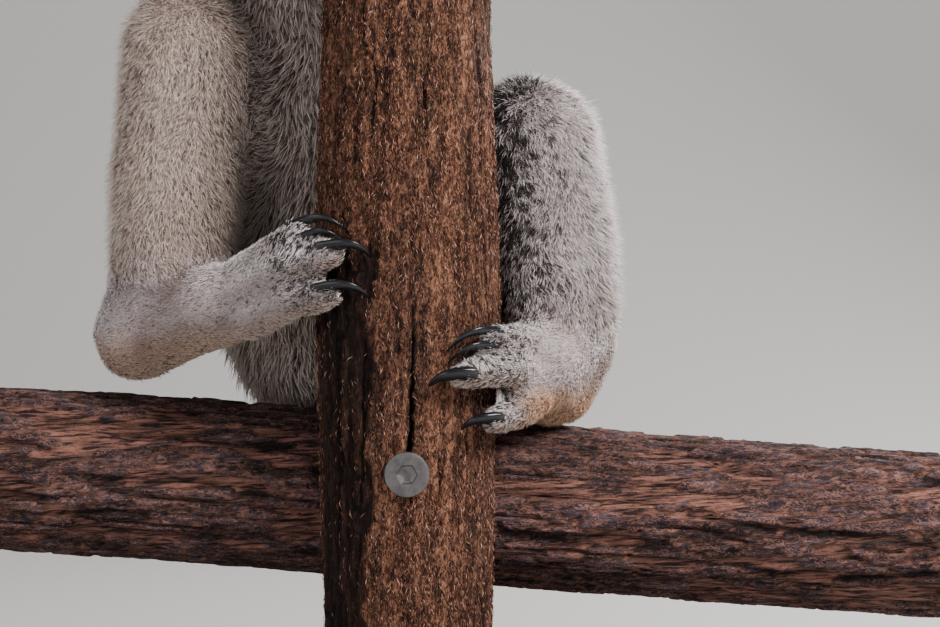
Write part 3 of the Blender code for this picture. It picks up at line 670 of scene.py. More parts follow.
# %% [markdown]
# ## The beam
#
# The cross beam still wears its bark: long plates, dark on their weathered faces, with
# paler pink-brown furrows between them that run with the grain. A brick-like pattern would
# repeat. Instead each plate is a cell of a random pattern stretched along the beam, bent by
# noise, and its distance to the nearest edge gives the height. Where the post stands in the
# way, the beam is hollowed to lie against it.

# %% Measure the beam
def end_ring(co, axis, side):
    """Middle and radius of the beam's end on one side of its axis."""
    reach = co @ axis * side
    ring = co[reach > reach.max() - 1.5 * MM]
    middle = (ring.max(0) + ring.min(0)) / 2
    return middle, lengths(ring - middle).max()


def beam_ends():
    """The two ends' middles and the beam's radius, refined until the axis settles."""
    co = node_points("beam")
    axis = np.array([1.0, 0.0, -0.07])
    for _ in range(3):
        axis /= np.linalg.norm(axis)
        start, radius = end_ring(co, axis, -1)
        finish, _ = end_ring(co, axis, 1)
        axis = finish - start
    return start, finish, radius


BEAM_START, BEAM_END, BEAM_RADIUS = beam_ends()
BEAM_AXIS = (BEAM_END - BEAM_START) / np.linalg.norm(BEAM_END - BEAM_START)
BEAM_SLOPE = math.atan2(BEAM_AXIS[2], BEAM_AXIS[0])
BEAM_FRONT = np.array([0.0, -1.0, 0.0])
BEAM_UP = np.cross(BEAM_AXIS, (0.0, 1.0, 0.0))
BEAM_UP = BEAM_UP / np.linalg.norm(BEAM_UP) * np.sign(BEAM_UP[2])
print("beam: radius mm", round(BEAM_RADIUS / MM, 1), "slope", round(math.degrees(BEAM_SLOPE), 2))

# %% Bark plates of the beam
PLATE_LONG, PLATE_ROWS = 27, 36      # length of a plate (mm), rows of them round the beam


def beam_relief(along, angle, spot):
    """Height (mm) of the bark over the plain beam, and the share that is furrow."""
    bend = np.stack([noise(spot / (75, 15, 15), s) for s in (51, 52)], 1)
    torn = noise(spot / (6.5, 2.4, 2.4), 53)
    u = along / PLATE_LONG + 0.40 * bend[:, 0] + 0.07 * torn
    v = angle / math.tau * PLATE_ROWS + 0.55 * bend[:, 1] + 0.17 * torn
    inner, plate = plates(u, v, 55, around=PLATE_ROWS)
    fallen = rise(0.50, 0.62, plate + 0.35 * noise(spot / (60, 14, 14), 56))
    face = rise(0.03, 0.15, inner) * (1 - fallen)
    _, chip = plates(u * 2.6 + 0.2 * torn, v * 1.2, 57)
    joint = bell((((u * 2.6) % 1) - 0.5) / 0.07) * (chip > 0.1)
    split = bell(noise(spot / (110, 6, 6), 59) / 0.095)
    fibre = layered(spot / (18, 2.3, 2.3), 60)
    relief = 0.7 * noise(spot / (80, 22, 22), 58) + face * (1.70 + 0.70 * plate + 0.35 * chip)
    relief += 0.50 * fibre * (1 - 0.4 * face) - 0.7 * joint * face - 2.4 * split - 1.1
    return relief, 1 - face


print("a plate is", PLATE_LONG, "by", round(math.tau * BEAM_RADIUS / MM / PLATE_ROWS, 1), "mm")

# %% Build the beam
BEAM_FINE, BEAM_COARSE = 1.10 * MM, 2.8 * MM
BEAM_SHOWN = 0.235       # from here to its far end the beam shows beside the post


def build_beam():
    """The beam's mesh, with relief, furrow share and sawn ends on its vertices."""
    length = float(np.linalg.norm(BEAM_END - BEAM_START))
    angle = graded(-math.pi, math.pi, -1.75, 1.45, BEAM_FINE / BEAM_RADIUS,
                   BEAM_COARSE / BEAM_RADIUS)[:-1]
    along = graded(0, length, BEAM_SHOWN, length - 0.004, 1.45 * MM, 3.0 * MM)
    flat_a, flat_t = (grid.ravel() for grid in np.meshgrid(angle, along))
    outward = np.cos(flat_a)[:, None] * BEAM_FRONT + np.sin(flat_a)[:, None] * BEAM_UP
    plain = BEAM_START + flat_t[:, None] * BEAM_AXIS
    local = np.stack([flat_t, np.cos(flat_a) * BEAM_RADIUS, np.sin(flat_a) * BEAM_RADIUS], 1)
    relief, furrow = beam_relief(flat_t / MM, flat_a, local / MM)
    ends = np.minimum(flat_t, length - flat_t) / MM
    moved = relief * rise(0, 5, ends) - 1.5 * rise(3, 0, ends)
    out = plain + outward * (BEAM_RADIUS + moved * MM)[:, None]
    post_here = np.interp(out[:, 2], POST_LEVELS, POST_RADII) + BORE_GAP
    against = np.sqrt(np.maximum(post_here ** 2 - out[:, 0] ** 2, 0))
    coped = (np.abs(out[:, 0]) < post_here) & (out[:, 1] < against)
    out[coped, 1] = against[coped]
    rings = list(out.reshape(len(along), len(angle), 3))
    every = beam_end_rings(rings[0], -1)[::-1] + rings + beam_end_rings(rings[-1], 1)
    mesh = closed_grid_mesh("beam_timber", every)
    at_each_end = (len(every) - len(rings)) // 2 * len(angle)
    store_timber(mesh, moved, furrow, at_each_end, at_each_end)
    return mesh


def beam_end_rings(ring, side):
    """Rings that close one sawn end of the beam, with growth rings and drying checks."""
    middle = ring.mean(0)
    rings = []
    for share in np.linspace(0.97, 0.02, 16):
        place = middle + (ring - middle) * share
        r = lengths(place - middle) / MM
        turn = np.linspace(0, math.tau, len(ring), endpoint=False)
        rays = np.abs(np.sin(turn * 1.5 + 0.7 + 0.3 * noise(place / MM / 15, 61)))
        check = bell(rays / 0.04) * rise(1.5, 8, r)
        grown = 0.25 * np.sin(r * 2.1 + 2 * noise(place / MM / 18, 62))
        rings.append(place + side * BEAM_AXIS * ((grown - 2.4 * check) * MM)[:, None])
    return rings


beam_mesh = build_beam()
print("beam:", len(beam_mesh.polygons), "faces")

# %% [markdown]
# ## The timber's finish
#
# Both timbers need the same thing at different sizes: fine fibres that run with the grain
# and short torn curls. A shader node group holds that pattern once, and each material
# places it with its own stretch and mixes its own colours. The relief stored on the mesh
# does the rest: cracks and furrows get dark painted shade, and the crests pale painted light.

# %% The fibre pattern, shared by both timbers
VECTOR, NUMBER, COLOUR = "NodeSocketVector", "NodeSocketFloat", "NodeSocketColor"
CURL_LAYERS = ((0.0, 1.0), (3.7, 1.45), (8.1, 0.8))     # shift of each layer of curls, its size


def make_fibre_group():
    """Fine fibres along Z and torn curls, from a place in metres."""
    group, given, out = new_group(
        "timber_fibre",
        (("Place", VECTOR, None), ("Across", NUMBER, 900.0), ("Along", NUMBER, 110.0),
         ("Curl", NUMBER, 420.0)),
        (("Fibre", NUMBER), ("Curls", NUMBER), ("Mottle", NUMBER)))
    get = given.outputs
    place = vector_maths(group, "MULTIPLY", get["Place"],
                         as_vector(group, get["Across"], get["Across"], get["Along"]))
    fibre = noise_texture(group, place, 1.0, 4.0, Roughness=0.65, Distortion=0.4)
    half = vector_maths(group, "MULTIPLY", get["Place"], (1.0, 1.0, 0.42))
    curls = 0.0
    for shift, size in CURL_LAYERS:
        moved = vector_maths(group, "ADD", half, (shift, shift * 0.7, shift * 1.3))
        scale = times(group, get["Curl"], size)
        wander = noise_texture(group, moved, scale, 1.0, Roughness=0.4, Distortion=1.1)
        near = maths(group, "ABSOLUTE", maths(group, "SUBTRACT", wander, 0.5))
        broken = noise_texture(group, moved, times(group, scale, 0.8), 0.0)
        thread = times(group, remap(group, near, 0.070, 0.018), remap(group, broken, 0.43, 0.55))
        curls = maths(group, "MAXIMUM", thread, curls)
    band = vector_maths(group, "MULTIPLY", get["Place"], (1.0, 1.0, 0.15))
    mottle = noise_texture(group, band, 150.0, 3.0, Roughness=0.55, Distortion=0.3)
    plug(group, out, Fibre=remap(group, fibre, 0.34, 0.66), Curls=curls,
         Mottle=remap(group, mottle, 0.36, 0.64))
    return group


FIBRE_GROUP = make_fibre_group()
print("group:", FIBRE_GROUP.name)

# %% Post and beam materials
def timber_material(name, turn, across, along, curl, crest_light, body, crack_shade, pale, sawn,
                    bare_share):
    """Timber whose grain runs along Z after `turn`; colours from the painted shade in cracks to
    the painted light on crests, and how much of its own colour the bare wood shows."""
    material, tree, shader = new_material(name)
    place = add_node(tree, "ShaderNodeMapping", Vector=object_place(tree),
                     Rotation=turn).outputs[0]
    pattern = use_group(tree, FIBRE_GROUP, Place=place, Across=across, Along=along, Curl=curl)
    fibre, curls, mottle = (pattern.outputs[k] for k in ("Fibre", "Curls", "Mottle"))
    relief = attribute(tree, "relief")
    mottled = maths(tree, "MULTIPLY_ADD", mottle, 1.6, -0.8)
    height = maths(tree, "ADD", relief, mottled)
    height = maths(tree, "ADD", height, maths(tree, "MULTIPLY_ADD", fibre, 4.2, -2.1))
    # painted shade and light: the lower the relief the darker, near black in cracks, and the
    # crests pale
    base = ramp(tree, remap(tree, height, -4.0, 2.6),
                ((0.0, crack_shade), (0.36, body[0]), (0.62, body[1]), (1.0, crest_light)))
    torn = times(tree, curls, remap(tree, relief, -1.6, 0.4, 0.10, 0.85))
    base = mix_colours(tree, torn, base, pale)
    bare_colour = mix_colours(tree, remap(tree, fibre, 0.35, 0.75), body[2], body[0])
    bare = times(tree, attribute(tree, "bare"), bare_share)
    base = mix_colours(tree, bare, base, bare_colour)
    base = brightened(tree, base, remap(tree, mottle, 0.0, 1.0, 0.48, 1.25))
    end_grain = mix_colours(tree, mottle, sawn, body[1])
    base = mix_colours(tree, attribute(tree, "sawn"), base, end_grain)
    fine = maths(tree, "MULTIPLY_ADD", curls, 0.8, fibre)
    plug(tree, shader, Base_Color=base, Roughness=remap(tree, fibre, 0.0, 1.0, 0.95, 0.75),
         Normal=bump(tree, fine, 0.9, 0.0007), Specular_IOR_Level=0.25)
    return material


# On the post both bare-wood colours are near black: painted shade on the peeled patch at the lower
# left of the front.
POST_MATERIAL = timber_material(
    "post_fibrous_timber", (0, 0, 0), 1150.0, 120.0, 520.0,
    crest_light=(0.150, 0.062, 0.038), body=((0.013, 0.006, 0.005), (0.056, 0.021, 0.014),
                                       (0.014, 0.007, 0.005)),
    crack_shade=(0.005, 0.003, 0.003), pale=(0.46, 0.215, 0.122), sawn=(0.20, 0.115, 0.07),
    bare_share=0.6)
BEAM_MATERIAL = timber_material(
    "beam_plated_bark", (0, math.radians(90) - BEAM_SLOPE, 0), 540.0, 46.0, 430.0,
    crest_light=(0.095, 0.067, 0.082), body=((0.013, 0.007, 0.007), (0.040, 0.025, 0.031),
                                       (0.380, 0.175, 0.130)),
    crack_shade=(0.007, 0.004, 0.004), pale=(0.30, 0.150, 0.115), sawn=(0.24, 0.14, 0.085),
    bare_share=0.8)
post = finish_object("post_timber", post_mesh, POST_MATERIAL, "post_wood", "post")
finish_object("beam_timber", beam_mesh, BEAM_MATERIAL, "beam_bark", "beam")
print("timber materials:", POST_MATERIAL.name, BEAM_MATERIAL.name)

# %% [markdown]
# ## Loose fibres on the post
#
# Where a fibrous bark weathers, thousands of short curled fibres stand off its surface and
# catch the light. A shader can paint them, but they would not shade each other or roughen
# the outline. So Geometry Nodes scatter small bent spindles over the front of the post,
# along the grain with some askew, and lay both ends of each on the wood. Bare wood and
# cracks get few or none.

# %% Geometry node helpers
def named(tree, name, kind):
    """Reads an attribute inside a geometry tree."""
    return add_node(tree, "GeometryNodeInputNamedAttribute", {"data_type": kind},
                    Name=name).outputs[0]


def random_number(tree, low, high, seed, offset):
    """A random number for each point."""
    node = add_node(tree, "FunctionNodeRandomValue", {"data_type": "FLOAT"}, i2=low, i3=high)
    tree.links.new(maths(tree, "ADD", seed, offset), node.inputs["Seed"])
    return node.outputs[1]


def vector_sum(tree, a, b, scale_a, scale_b):
    """a times one number plus b times another."""
    scaled = [add_node(tree, "ShaderNodeVectorMath", {"operation": "SCALE"}, i0=vector,
                       Scale=scale).outputs[0] for vector, scale in ((a, scale_a), (b, scale_b))]
    return vector_maths(tree, "ADD", *scaled)


def turned_about(tree, vector, axis, angle):
    """A vector turned about an axis."""
    return add_node(tree, "ShaderNodeVectorRotate", {"rotation_type": "AXIS_ANGLE"},
                    Vector=vector, Axis=axis, Angle=angle).outputs[0]


print("small geometry nodes ready")

# %% Scatter, plant and finish a tree
def scatter_tree(name, inputs):
    """An empty geometry tree with a Geometry input and output and the inputs given as
    (name, kind); returns it, its given sockets and its output node."""
    tree = bpy.data.node_groups.new(name, "GeometryNodeTree")
    for label, kind in (("Geometry", "Geometry"), *inputs):
        tree.interface.new_socket(label, in_out="INPUT", socket_type=f"NodeSocket{kind}")
    tree.interface.new_socket("Geometry", in_out="OUTPUT", socket_type="NodeSocketGeometry")
    return tree, tree.nodes.new("NodeGroupInput").outputs, tree.nodes.new("NodeGroupOutput")


def scatter_points(tree, given, density):
    """Random points on the given faces, as dense as the mesh says, and their normals."""
    scatter = add_node(tree, "GeometryNodeDistributePointsOnFaces",
                       {"distribute_method": "RANDOM"}, Mesh=given["Geometry"],
                       Density=named(tree, density, "FLOAT"), Seed=given["Seed"])
    return scatter.outputs["Points"], scatter.outputs["Normal"]


def plant(tree, points, shape, shade, along, bow, width, length):
    """Stores a shade on each point, puts the shape there with its Z along and its X to the
    bow, and makes all of it real mesh."""
    shaded = add_node(tree, "GeometryNodeStoreNamedAttribute",
                      {"data_type": "FLOAT", "domain": "POINT"}, Geometry=points, Name="shade",
                      Value=shade).outputs[0]
    turn = add_node(tree, "FunctionNodeAxesToRotation",
                    {"primary_axis": "Z", "secondary_axis": "X"}, i0=along, i1=bow).outputs[0]
    leaf = add_node(tree, "GeometryNodeObjectInfo", Object=shape).outputs["Geometry"]
    planted = add_node(tree, "GeometryNodeInstanceOnPoints", Points=shaded, Instance=leaf,
                       Rotation=turn, Scale=as_vector(tree, width, width, length)).outputs[0]
    return add_node(tree, "GeometryNodeRealizeInstances", Geometry=planted).outputs[0]


def end_tree(tree, out, geometry, material):
    """Gives the geometry its material and ends the tree with it."""
    plug(tree, out, i0=add_node(tree, "GeometryNodeSetMaterial", Geometry=geometry,
                                Material=material).outputs[0])
    return tree


def grown_mesh(holder, tree, values):
    """Runs a geometry tree with its named inputs on an object, and returns plain mesh."""
    modifier = holder.modifiers.new(tree.name, "NODES")
    modifier.node_group = tree
    for item in tree.interface.items_tree:
        if item.in_out == "INPUT" and item.name in values:
            modifier[item.identifier] = values[item.name]
    mesh = applied_mesh(holder)
    holder.modifiers.clear()
    mesh.materials.clear()           # an empty slot of the holder's would come first
    mesh.materials.append(values["Material"])
    mesh.polygons.foreach_set("material_index", np.zeros(len(mesh.polygons), np.int32))
    return mesh


def set_density(mesh, name, wanted):
    """Scales a relative density so that the whole mesh gets the wanted number of points."""
    values = values_of(mesh, name)
    areas = read_rows(mesh.polygons, "area", 1)[:, 0]
    mean = np.array([values[list(p.vertices)].mean() for p in mesh.polygons])
    scaled = (values * wanted / (mean * areas).sum()).astype(np.float32)
    mesh.attributes[name].data.foreach_set("value", scaled)


print("geometry node helpers ready")

# %% The fibres' node tree
FIBRES = 15000
FIBRE_BOW = 2.3        # how far a fibre's middle stands out, in its widths
FIBRE_WIDTHS = 0.22 * MM, 0.46 * MM
FIBRE_LENGTHS = 2.0 * MM, 6.2 * MM


def fibre_mesh():
    """One closed spindle of six triangles, bowed to +X."""
    points = [(0, 0, -0.5), (FIBRE_BOW + 0.5, 0, 0.05), (FIBRE_BOW - 0.25, 0.45, 0),
              (FIBRE_BOW - 0.25, -0.45, 0), (0.3, 0, 0.5)]
    faces = [(0, 2, 1), (0, 3, 2), (0, 1, 3), (1, 2, 4), (2, 3, 4), (3, 1, 4)]
    mesh = bpy.data.meshes.new("one_fibre")
    mesh.from_pydata(points, [], faces)
    mesh.shade_smooth()
    return mesh


def fibre_tree():
    """Scatters fibres; inputs: Fibre, Material, Seed, Askew (radians)."""
    tree, given, out = scatter_tree("loose_fibres", (
        ("Fibre", "Object"), ("Material", "Material"), ("Seed", "Int"), ("Askew", "Float")))
    seed = given["Seed"]
    points, normal = scatter_points(tree, given, "shaggy")
    swing = times(tree, random_number(tree, -1.0, 1.0, seed, 1),
                  random_number(tree, 0.1, 1.0, seed, 2))
    grain = turned_about(tree, (0.0, 0.0, 1.0), normal, times(tree, swing, given["Askew"]))
    bow = turned_about(tree, normal, grain, random_number(tree, -1.3, 1.3, seed, 3))
    width = random_number(tree, *FIBRE_WIDTHS, seed, 4)
    length = random_number(tree, *FIBRE_LENGTHS, seed, 5)
    solid = plant(tree, points, given["Fibre"], random_number(tree, 0.0, 1.0, seed, 6), grain,
                  bow, width, length)
    return end_tree(tree, out, solid, given["Material"])


FIBRE_TREE = fibre_tree()
print("fibre tree:", len(FIBRE_TREE.nodes), "nodes")

# %% Grow the fibres
def make_fibre_material():
    """Dry bark fibre, from dark brown to pale orange."""
    material, tree, shader = new_material("loose_fibre")
    colour = ramp(tree, attribute(tree, "shade"), (
        (0.0, (0.016, 0.007, 0.005)), (0.40, (0.055, 0.021, 0.014)), (0.64, (0.16, 0.064, 0.040)),
        (0.86, (0.43, 0.195, 0.130)), (1.0, (0.68, 0.43, 0.32))))
    plug(tree, shader, Base_Color=colour, Roughness=0.8, Specular_IOR_Level=0.25)
    return material


def shagginess():
    """Relative density of fibres at each vertex of the post."""
    co, normal = points_of(post_mesh) / MM, normals_of(post_mesh)
    relief, bare = values_of(post_mesh, "relief"), values_of(post_mesh, "bare")
    seen = rise(84, 96, co[:, 2]) * rise(430, 418, co[:, 2])
    seen *= rise(0.25, -0.05, normal[:, 1])
    columns = noise(co / (4.5, 4.5, 50), 33)
    patchy = 0.30 + 0.75 * rise(-0.3, 0.3, columns) + 0.35 * noise(co / 14, 34)
    shaggy = seen * np.clip(patchy, 0.1, 2) * (1 - 0.70 * bare) * rise(-2.2, -0.9, relief)
    from_bolt = np.hypot(co[:, 0] - BOLT_X / MM, co[:, 2] - BOLT_Z / MM)
    return shaggy * rise(11, 14, from_bolt) * (values_of(post_mesh, "sawn") < 0.5)


set_values(post_mesh, "shaggy", shagginess())
set_density(post_mesh, "shaggy", FIBRES)
one_fibre = add_to_scene("one_fibre", fibre_mesh())
fibres = finish_object("post_fibres", grown_mesh(post, FIBRE_TREE, {
    "Fibre": one_fibre, "Material": make_fibre_material(), "Seed": 7, "Askew": 1.25}), None,
    "post_wood")
bpy.data.objects.remove(one_fibre)
post_mesh.attributes.remove(post_mesh.attributes["shaggy"])
print("fibres:", len(fibres.data.polygons), "triangles")

# %% [markdown]
# ## The skin
#
# On the animal one skin runs over the whole body, and the coat grows out of it. The frame
# has the body parted into limbs, so that it can be built and checked. Here those solids
# are joined, wrapped again in one even mesh by a voxel remesh, which closes the cuts, and
# smoothed where the body is soft. Then every vertex sinks by the depth of the coat there:
# millimetres on a toe, much more on the back. The tips of the hairs come out where the
# solids had their surface.

# %% Join the flesh
SIDES = ("left", "right")
LIMB_PARTS = ("upper_arm", "forearm", "hand", "thigh", "shin", "foot")
FLESH = ["trunk", "neck", "head", *(f"ear_{s}" for s in SIDES),
         *(f"{part}_{s}" for part in LIMB_PARTS for s in SIDES)]
UNDER_SKIN = FLESH + ["eye_left", "eye_right", "nose"]
SKIN_VOXEL = 2.2 * MM
CUT_OVERLAP = 0.6 * MM
CUT_REACH = 1.6 * MM   # how far apart two nodes' points are across the cut between them
CLAW_IN_FLESH = 5      # slices of a claw, of twelve, that the digit's flesh wraps


def slices_of(name):
    """Middles and radii of slices through a claw, from its root to its tip."""
    mesh = NODES[name].data
    co, edges = points_of(mesh), edges_of(mesh)
    centre = co.mean(0)
    axis = np.linalg.svd(co - centre)[2][0]
    reach = (co - centre) @ axis
    a, b = reach[edges[:, 0]], reach[edges[:, 1]]
    middles, sizes = [], []
    places = np.linspace(reach.min(), reach.max(), 12)[1:-1]
    for place in places:
        cut = (a - place) * (b - place) < 0
        share = ((place - a[cut]) / (b[cut] - a[cut]))[:, None]
        crossing = co[edges[cut, 0]] * (1 - share) + co[edges[cut, 1]] * share
        low, high = crossing.min(0), crossing.max(0)
        middles.append((low + high) / 2)
        sizes.append(lengths(crossing - (low + high) / 2).mean())
    if sizes[0] < sizes[-1]:
        middles, sizes, axis = middles[::-1], sizes[::-1], -axis
    root = middles[0] - axis * (places[1] - places[0])
    ends = co[np.argsort((co - centre) @ axis)]
    return np.array([root, *middles, ends[-4:].mean(0)]), np.array([sizes[0], *sizes, 0.3 * MM])


def digit_balls(bm, name):
    """Balls round the root half of a claw, where the digit's flesh wraps it."""
    middles, sizes = slices_of(name)
    for k in range(CLAW_IN_FLESH):
        place = Matrix.Translation(Vector(middles[k]))
        bmesh.ops.create_icosphere(bm, subdivisions=2, matrix=place,
                                   radius=sizes[k] + (1.5 - 0.22 * k) * MM)


def merged_copy(name):
    """The node's triangles as arrays of points and faces, with shared corners merged, and
    swollen a little, so that it overlaps its neighbour across the cut between them."""
    bm = bmesh.new()
    bm.from_mesh(NODES[name].data)
    bmesh.ops.remove_doubles(bm, verts=bm.verts, dist=0.01 * MM)
    bm.normal_update()
    for vertex in bm.verts:
        vertex.co += vertex.normal * CUT_OVERLAP
    for claw in NODES:
        if claw.startswith(f"claw_{name}"):
            digit_balls(bm, claw)
    bm.verts.index_update()
    co = np.array([vertex.co for vertex in bm.verts])
    faces = [[vertex.index for vertex in face.verts] for face in bm.faces]
    bm.free()
    return co, faces


def all_flesh():
    """Points, faces and each face's node number for everything under the skin."""
    points, faces, owner = [], [], []
    for number, name in enumerate(UNDER_SKIN):
        co, found = merged_copy(name)
        start = sum(len(p) for p in points)
        points.append(co)
        faces += [[start + i for i in f] for f in found]
        owner += [number] * len(found)
    return np.concatenate(points), faces, np.array(owner)


FLESH_POINTS, FLESH_FACES, FLESH_OWNER = all_flesh()
FLESH_TREE = BVHTree.FromPolygons([Vector(p) for p in FLESH_POINTS], FLESH_FACES)
print("flesh:", len(FLESH_POINTS), "points,", len(FLESH_FACES), "faces in", len(UNDER_SKIN))

# %% Landmarks: joints, eyes, nose and claws
def middle(name):
    """Middle of a node's box."""
    low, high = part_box(name)
    return np.array((low + high) / 2)


def joint_between(a, b):
    """Middle of the cut where two nodes meet."""
    tree = KDTree(len(NODES[b].data.vertices))
    for i, vertex in enumerate(NODES[b].data.vertices):
        tree.insert(vertex.co, i)
    tree.balance()
    near = [p for p in node_points(a) if tree.find(Vector(p))[2] < CUT_REACH]
    if not near:
        return (middle(a) + middle(b)) / 2
    return (np.min(near, 0) + np.max(near, 0)) / 2


JOINTS = {}
for side in SIDES:
    for joint, a, b in (("hip", "thigh", "trunk"), ("knee", "thigh", "shin"),
                        ("ankle", "shin", "foot"), ("shoulder", "upper_arm", "trunk"),
                        ("elbow", "upper_arm", "forearm"), ("wrist", "forearm", "hand"),
                        ("ear_base", "ear", "head")):
        other = b if b in ("trunk", "head") else f"{b}_{side}"
        JOINTS[joint, side] = joint_between(f"{a}_{side}", other)
NECK_BASE = joint_between("neck", "trunk")
EYES = {side: middle(f"eye_{side}") for side in SIDES}
EYES_MIDDLE = (EYES["left"] + EYES["right"]) / 2
EYE_RADIUS = float(np.ptp(node_points("eye_left")[:, 2]) / 2)
EYE_TO_NOSE_DROP = math.radians(33.7)   # how far the line from the eyes to the nose dips
NOSE = middle("nose")
CLAW_NAMES = sorted(n for n in NODES if n.startswith("claw_"))
CLAW_MIDDLES = np.array([middle(n) for n in CLAW_NAMES])
HEAD_LEFT = (EYES["left"] - EYES["right"]) / np.linalg.norm(EYES["left"] - EYES["right"])


def face_direction():
    """The way out through the face: the line from the eyes to the nose, tipped up by its dip."""
    to_nose = NOSE - EYES_MIDDLE
    to_nose -= HEAD_LEFT * (to_nose @ HEAD_LEFT)
    to_nose /= np.linalg.norm(to_nose)
    return np.array(Matrix.Rotation(EYE_TO_NOSE_DROP, 3, Vector(HEAD_LEFT))).T @ to_nose


HEAD_FRONT = face_direction()
HEAD_UP = np.cross(HEAD_LEFT, -HEAD_FRONT)
print("eye radius mm", round(EYE_RADIUS / MM, 2), "face looks to", np.round(HEAD_FRONT, 2))

# %% Wrap the flesh in one skin
SKIN_KEPT, CALM_FACTOR = 0.42, 6.0     # share of the faces kept, and how calm parts are favoured
MOUTH = NOSE - 26 * MM * HEAD_UP - 6 * MM * HEAD_FRONT
FINE_FACE = 24 * MM    # how far round the eyes and the mouth the squares are halved


def joined_skin_mesh():
    """All flesh in one voxel mesh."""
    mesh = bpy.data.meshes.new("flesh")
    mesh.from_pydata(FLESH_POINTS.tolist(), [], FLESH_FACES)
    holder = add_to_scene("flesh", mesh)
    remesh = holder.modifiers.new("wrap", "REMESH")
    remesh.mode, remesh.voxel_size = "VOXEL", SKIN_VOXEL
    skin = applied_mesh(holder)
    bpy.data.objects.remove(holder)
    bpy.data.meshes.remove(mesh)
    return skin


def thin_out(mesh):
    """Collapses the mesh where it is calm, and keeps the face, hands and feet as fine as
    they are."""
    busy = [*CLAW_MIDDLES, NOSE, *EYES.values()]
    gap = np.min([lengths(points_of(mesh) - spot) for spot in busy], 0)
    calm = rise(30 * MM, 60 * MM, gap)
    holder = add_to_scene("calm", mesh)
    group = holder.vertex_groups.new(name="calm")
    for tenths in range(11):
        near = np.nonzero(np.round(calm * 10) == tenths)[0]
        group.add(near.tolist(), tenths / 10, "REPLACE")
    decimate = holder.modifiers.new("thin", "DECIMATE")
    decimate.ratio = SKIN_KEPT
    decimate.vertex_group = "calm"
    decimate.vertex_group_factor = CALM_FACTOR
    thinned = applied_mesh(holder)
    bpy.data.objects.remove(holder)
    return thinned


def refine_face(mesh):
    """Halves the mesh's squares round the eyes and the mouth."""
    bm = bmesh.new()
    bm.from_mesh(mesh)
    spots = [Vector(place) for place in (EYES["left"], EYES["right"], MOUTH)]
    near = [e for e in bm.edges
            if any(((e.verts[0].co + e.verts[1].co) / 2 - s).length < FINE_FACE for s in spots)]
    bmesh.ops.subdivide_edges(bm, edges=near, cuts=1, use_grid_fill=True)
    bmesh.ops.triangulate(bm, faces=[f for f in bm.faces if len(f.verts) > 4])
    bm.to_mesh(mesh)
    bm.free()


skin_mesh = thin_out(joined_skin_mesh())
refine_face(skin_mesh)
print("skin:", len(skin_mesh.vertices), "vertices", len(skin_mesh.polygons), "faces")

# %% What each place of the skin belongs to
# part of the body: hair length (mm), hair width (mm), lift from the skin (degrees), how
# much the skin is smoothed
COAT = {"trunk": (16, 1.35, 28, 1.0), "neck": (16, 1.4, 28, 1.0), "head": (8.5, 0.75, 22, 0.45),
        "ear": (12, 0.80, 30, 0.30), "upper_arm": (13, 1.2, 28, 0.9),
        "forearm": (10, 0.95, 24, 0.7), "hand": (4.6, 0.50, 15, 0.16),
        "thigh": (12, 1.0, 30, 1.0), "shin": (8.2, 0.56, 39, 0.8), "foot": (5.0, 0.40, 19, 0.20),
        "eye": (1.5, 0.4, 15, 0.12), "nose": (2.5, 0.4, 15, 0.30)}


def spread(values, rounds, weight=1.0, amount=0.5):
    """Averages the skin's values (n) or (n, k) with their neighbours', in so many rounds."""
    a, b = SKIN_EDGES.T
    rows = values.reshape(len(values), -1).copy()
    count = np.bincount(SKIN_EDGES.ravel(), minlength=len(rows))
    pull = amount * np.broadcast_to(weight, len(rows))[:, None]
    for _ in range(rounds):
        total = np.stack([np.bincount(a, column[b], len(rows))
                          + np.bincount(b, column[a], len(rows)) for column in rows.T], 1)
        rows += pull * (total / np.maximum(count, 1)[:, None] - rows)
    return rows.reshape(values.shape)


SKIN_EDGES = edges_of(skin_mesh)
skin_co = points_of(skin_mesh)
PART = FLESH_OWNER[[FLESH_TREE.find_nearest(Vector(p))[2] for p in skin_co]]    # a node number
PART_KIND = [n.rsplit("_", 1)[0] if n.endswith(SIDES) else n for n in UNDER_SKIN]
PART_SIDE = [n.rsplit("_", 1)[1] if n.endswith(SIDES) else "" for n in UNDER_SKIN]
KIND, SIDE = np.array(PART_KIND)[PART], np.array(PART_SIDE)[PART]
settings = np.array([COAT[kind] for kind in KIND], float)
hair_length, hair_width, hair_lift, _ = spread(settings, 30).T.copy()
print("vertices by part:", dict(zip(*np.unique(KIND, return_counts=True))))

# %% Smooth and sink the skin
DEPTH_SHARE = 0.80     # how much of a hair's rise over the skin the coat's depth takes
CROWN_LONGER, CROWN_WIDER = 0.65, 0.60      # hair behind the face
TOE_SHORTER, TOE_FLATTER = 0.30, 0.15       # hair beside the claws


def move_skin():
    """Puts the skin's vertices where skin_co says."""
    skin_mesh.vertices.foreach_set("co", skin_co.ravel())
    skin_mesh.update()


gaps = np.linalg.norm(skin_co[:, None, :] - CLAW_MIDDLES[None], axis=2)
claw_gap, claw_index = gaps.min(1) / MM, gaps.argmin(1)      # distance to the nearest claw
behind_face = ((skin_co - NOSE) @ HEAD_FRONT) / MM
crown = spread(rise(-55, -105, behind_face) * (KIND == "head"), 10)
hair_length *= 1 + CROWN_LONGER * crown
hair_width *= 1 + CROWN_WIDER * crown
smooth_weight = spread(settings[:, 3], 12)
skin_co = spread(skin_co, 3, amount=0.4)
skin_co = spread(skin_co, 34, smooth_weight ** 1.3)
move_skin()
digit = rise(26, 12, claw_gap) * np.isin(KIND, ("foot", "hand"))
hair_length *= 1 - TOE_SHORTER * digit
hair_lift *= 1 - TOE_FLATTER * digit
coat_depth = spread(DEPTH_SHARE * hair_length * np.sin(np.radians(hair_lift)) * MM, 6)
skin_co = skin_co - normals_of(skin_mesh) * coat_depth[:, None]
skin_co = spread(skin_co, 2, smooth_weight, 0.4)
move_skin()
skin_mesh.shade_smooth()
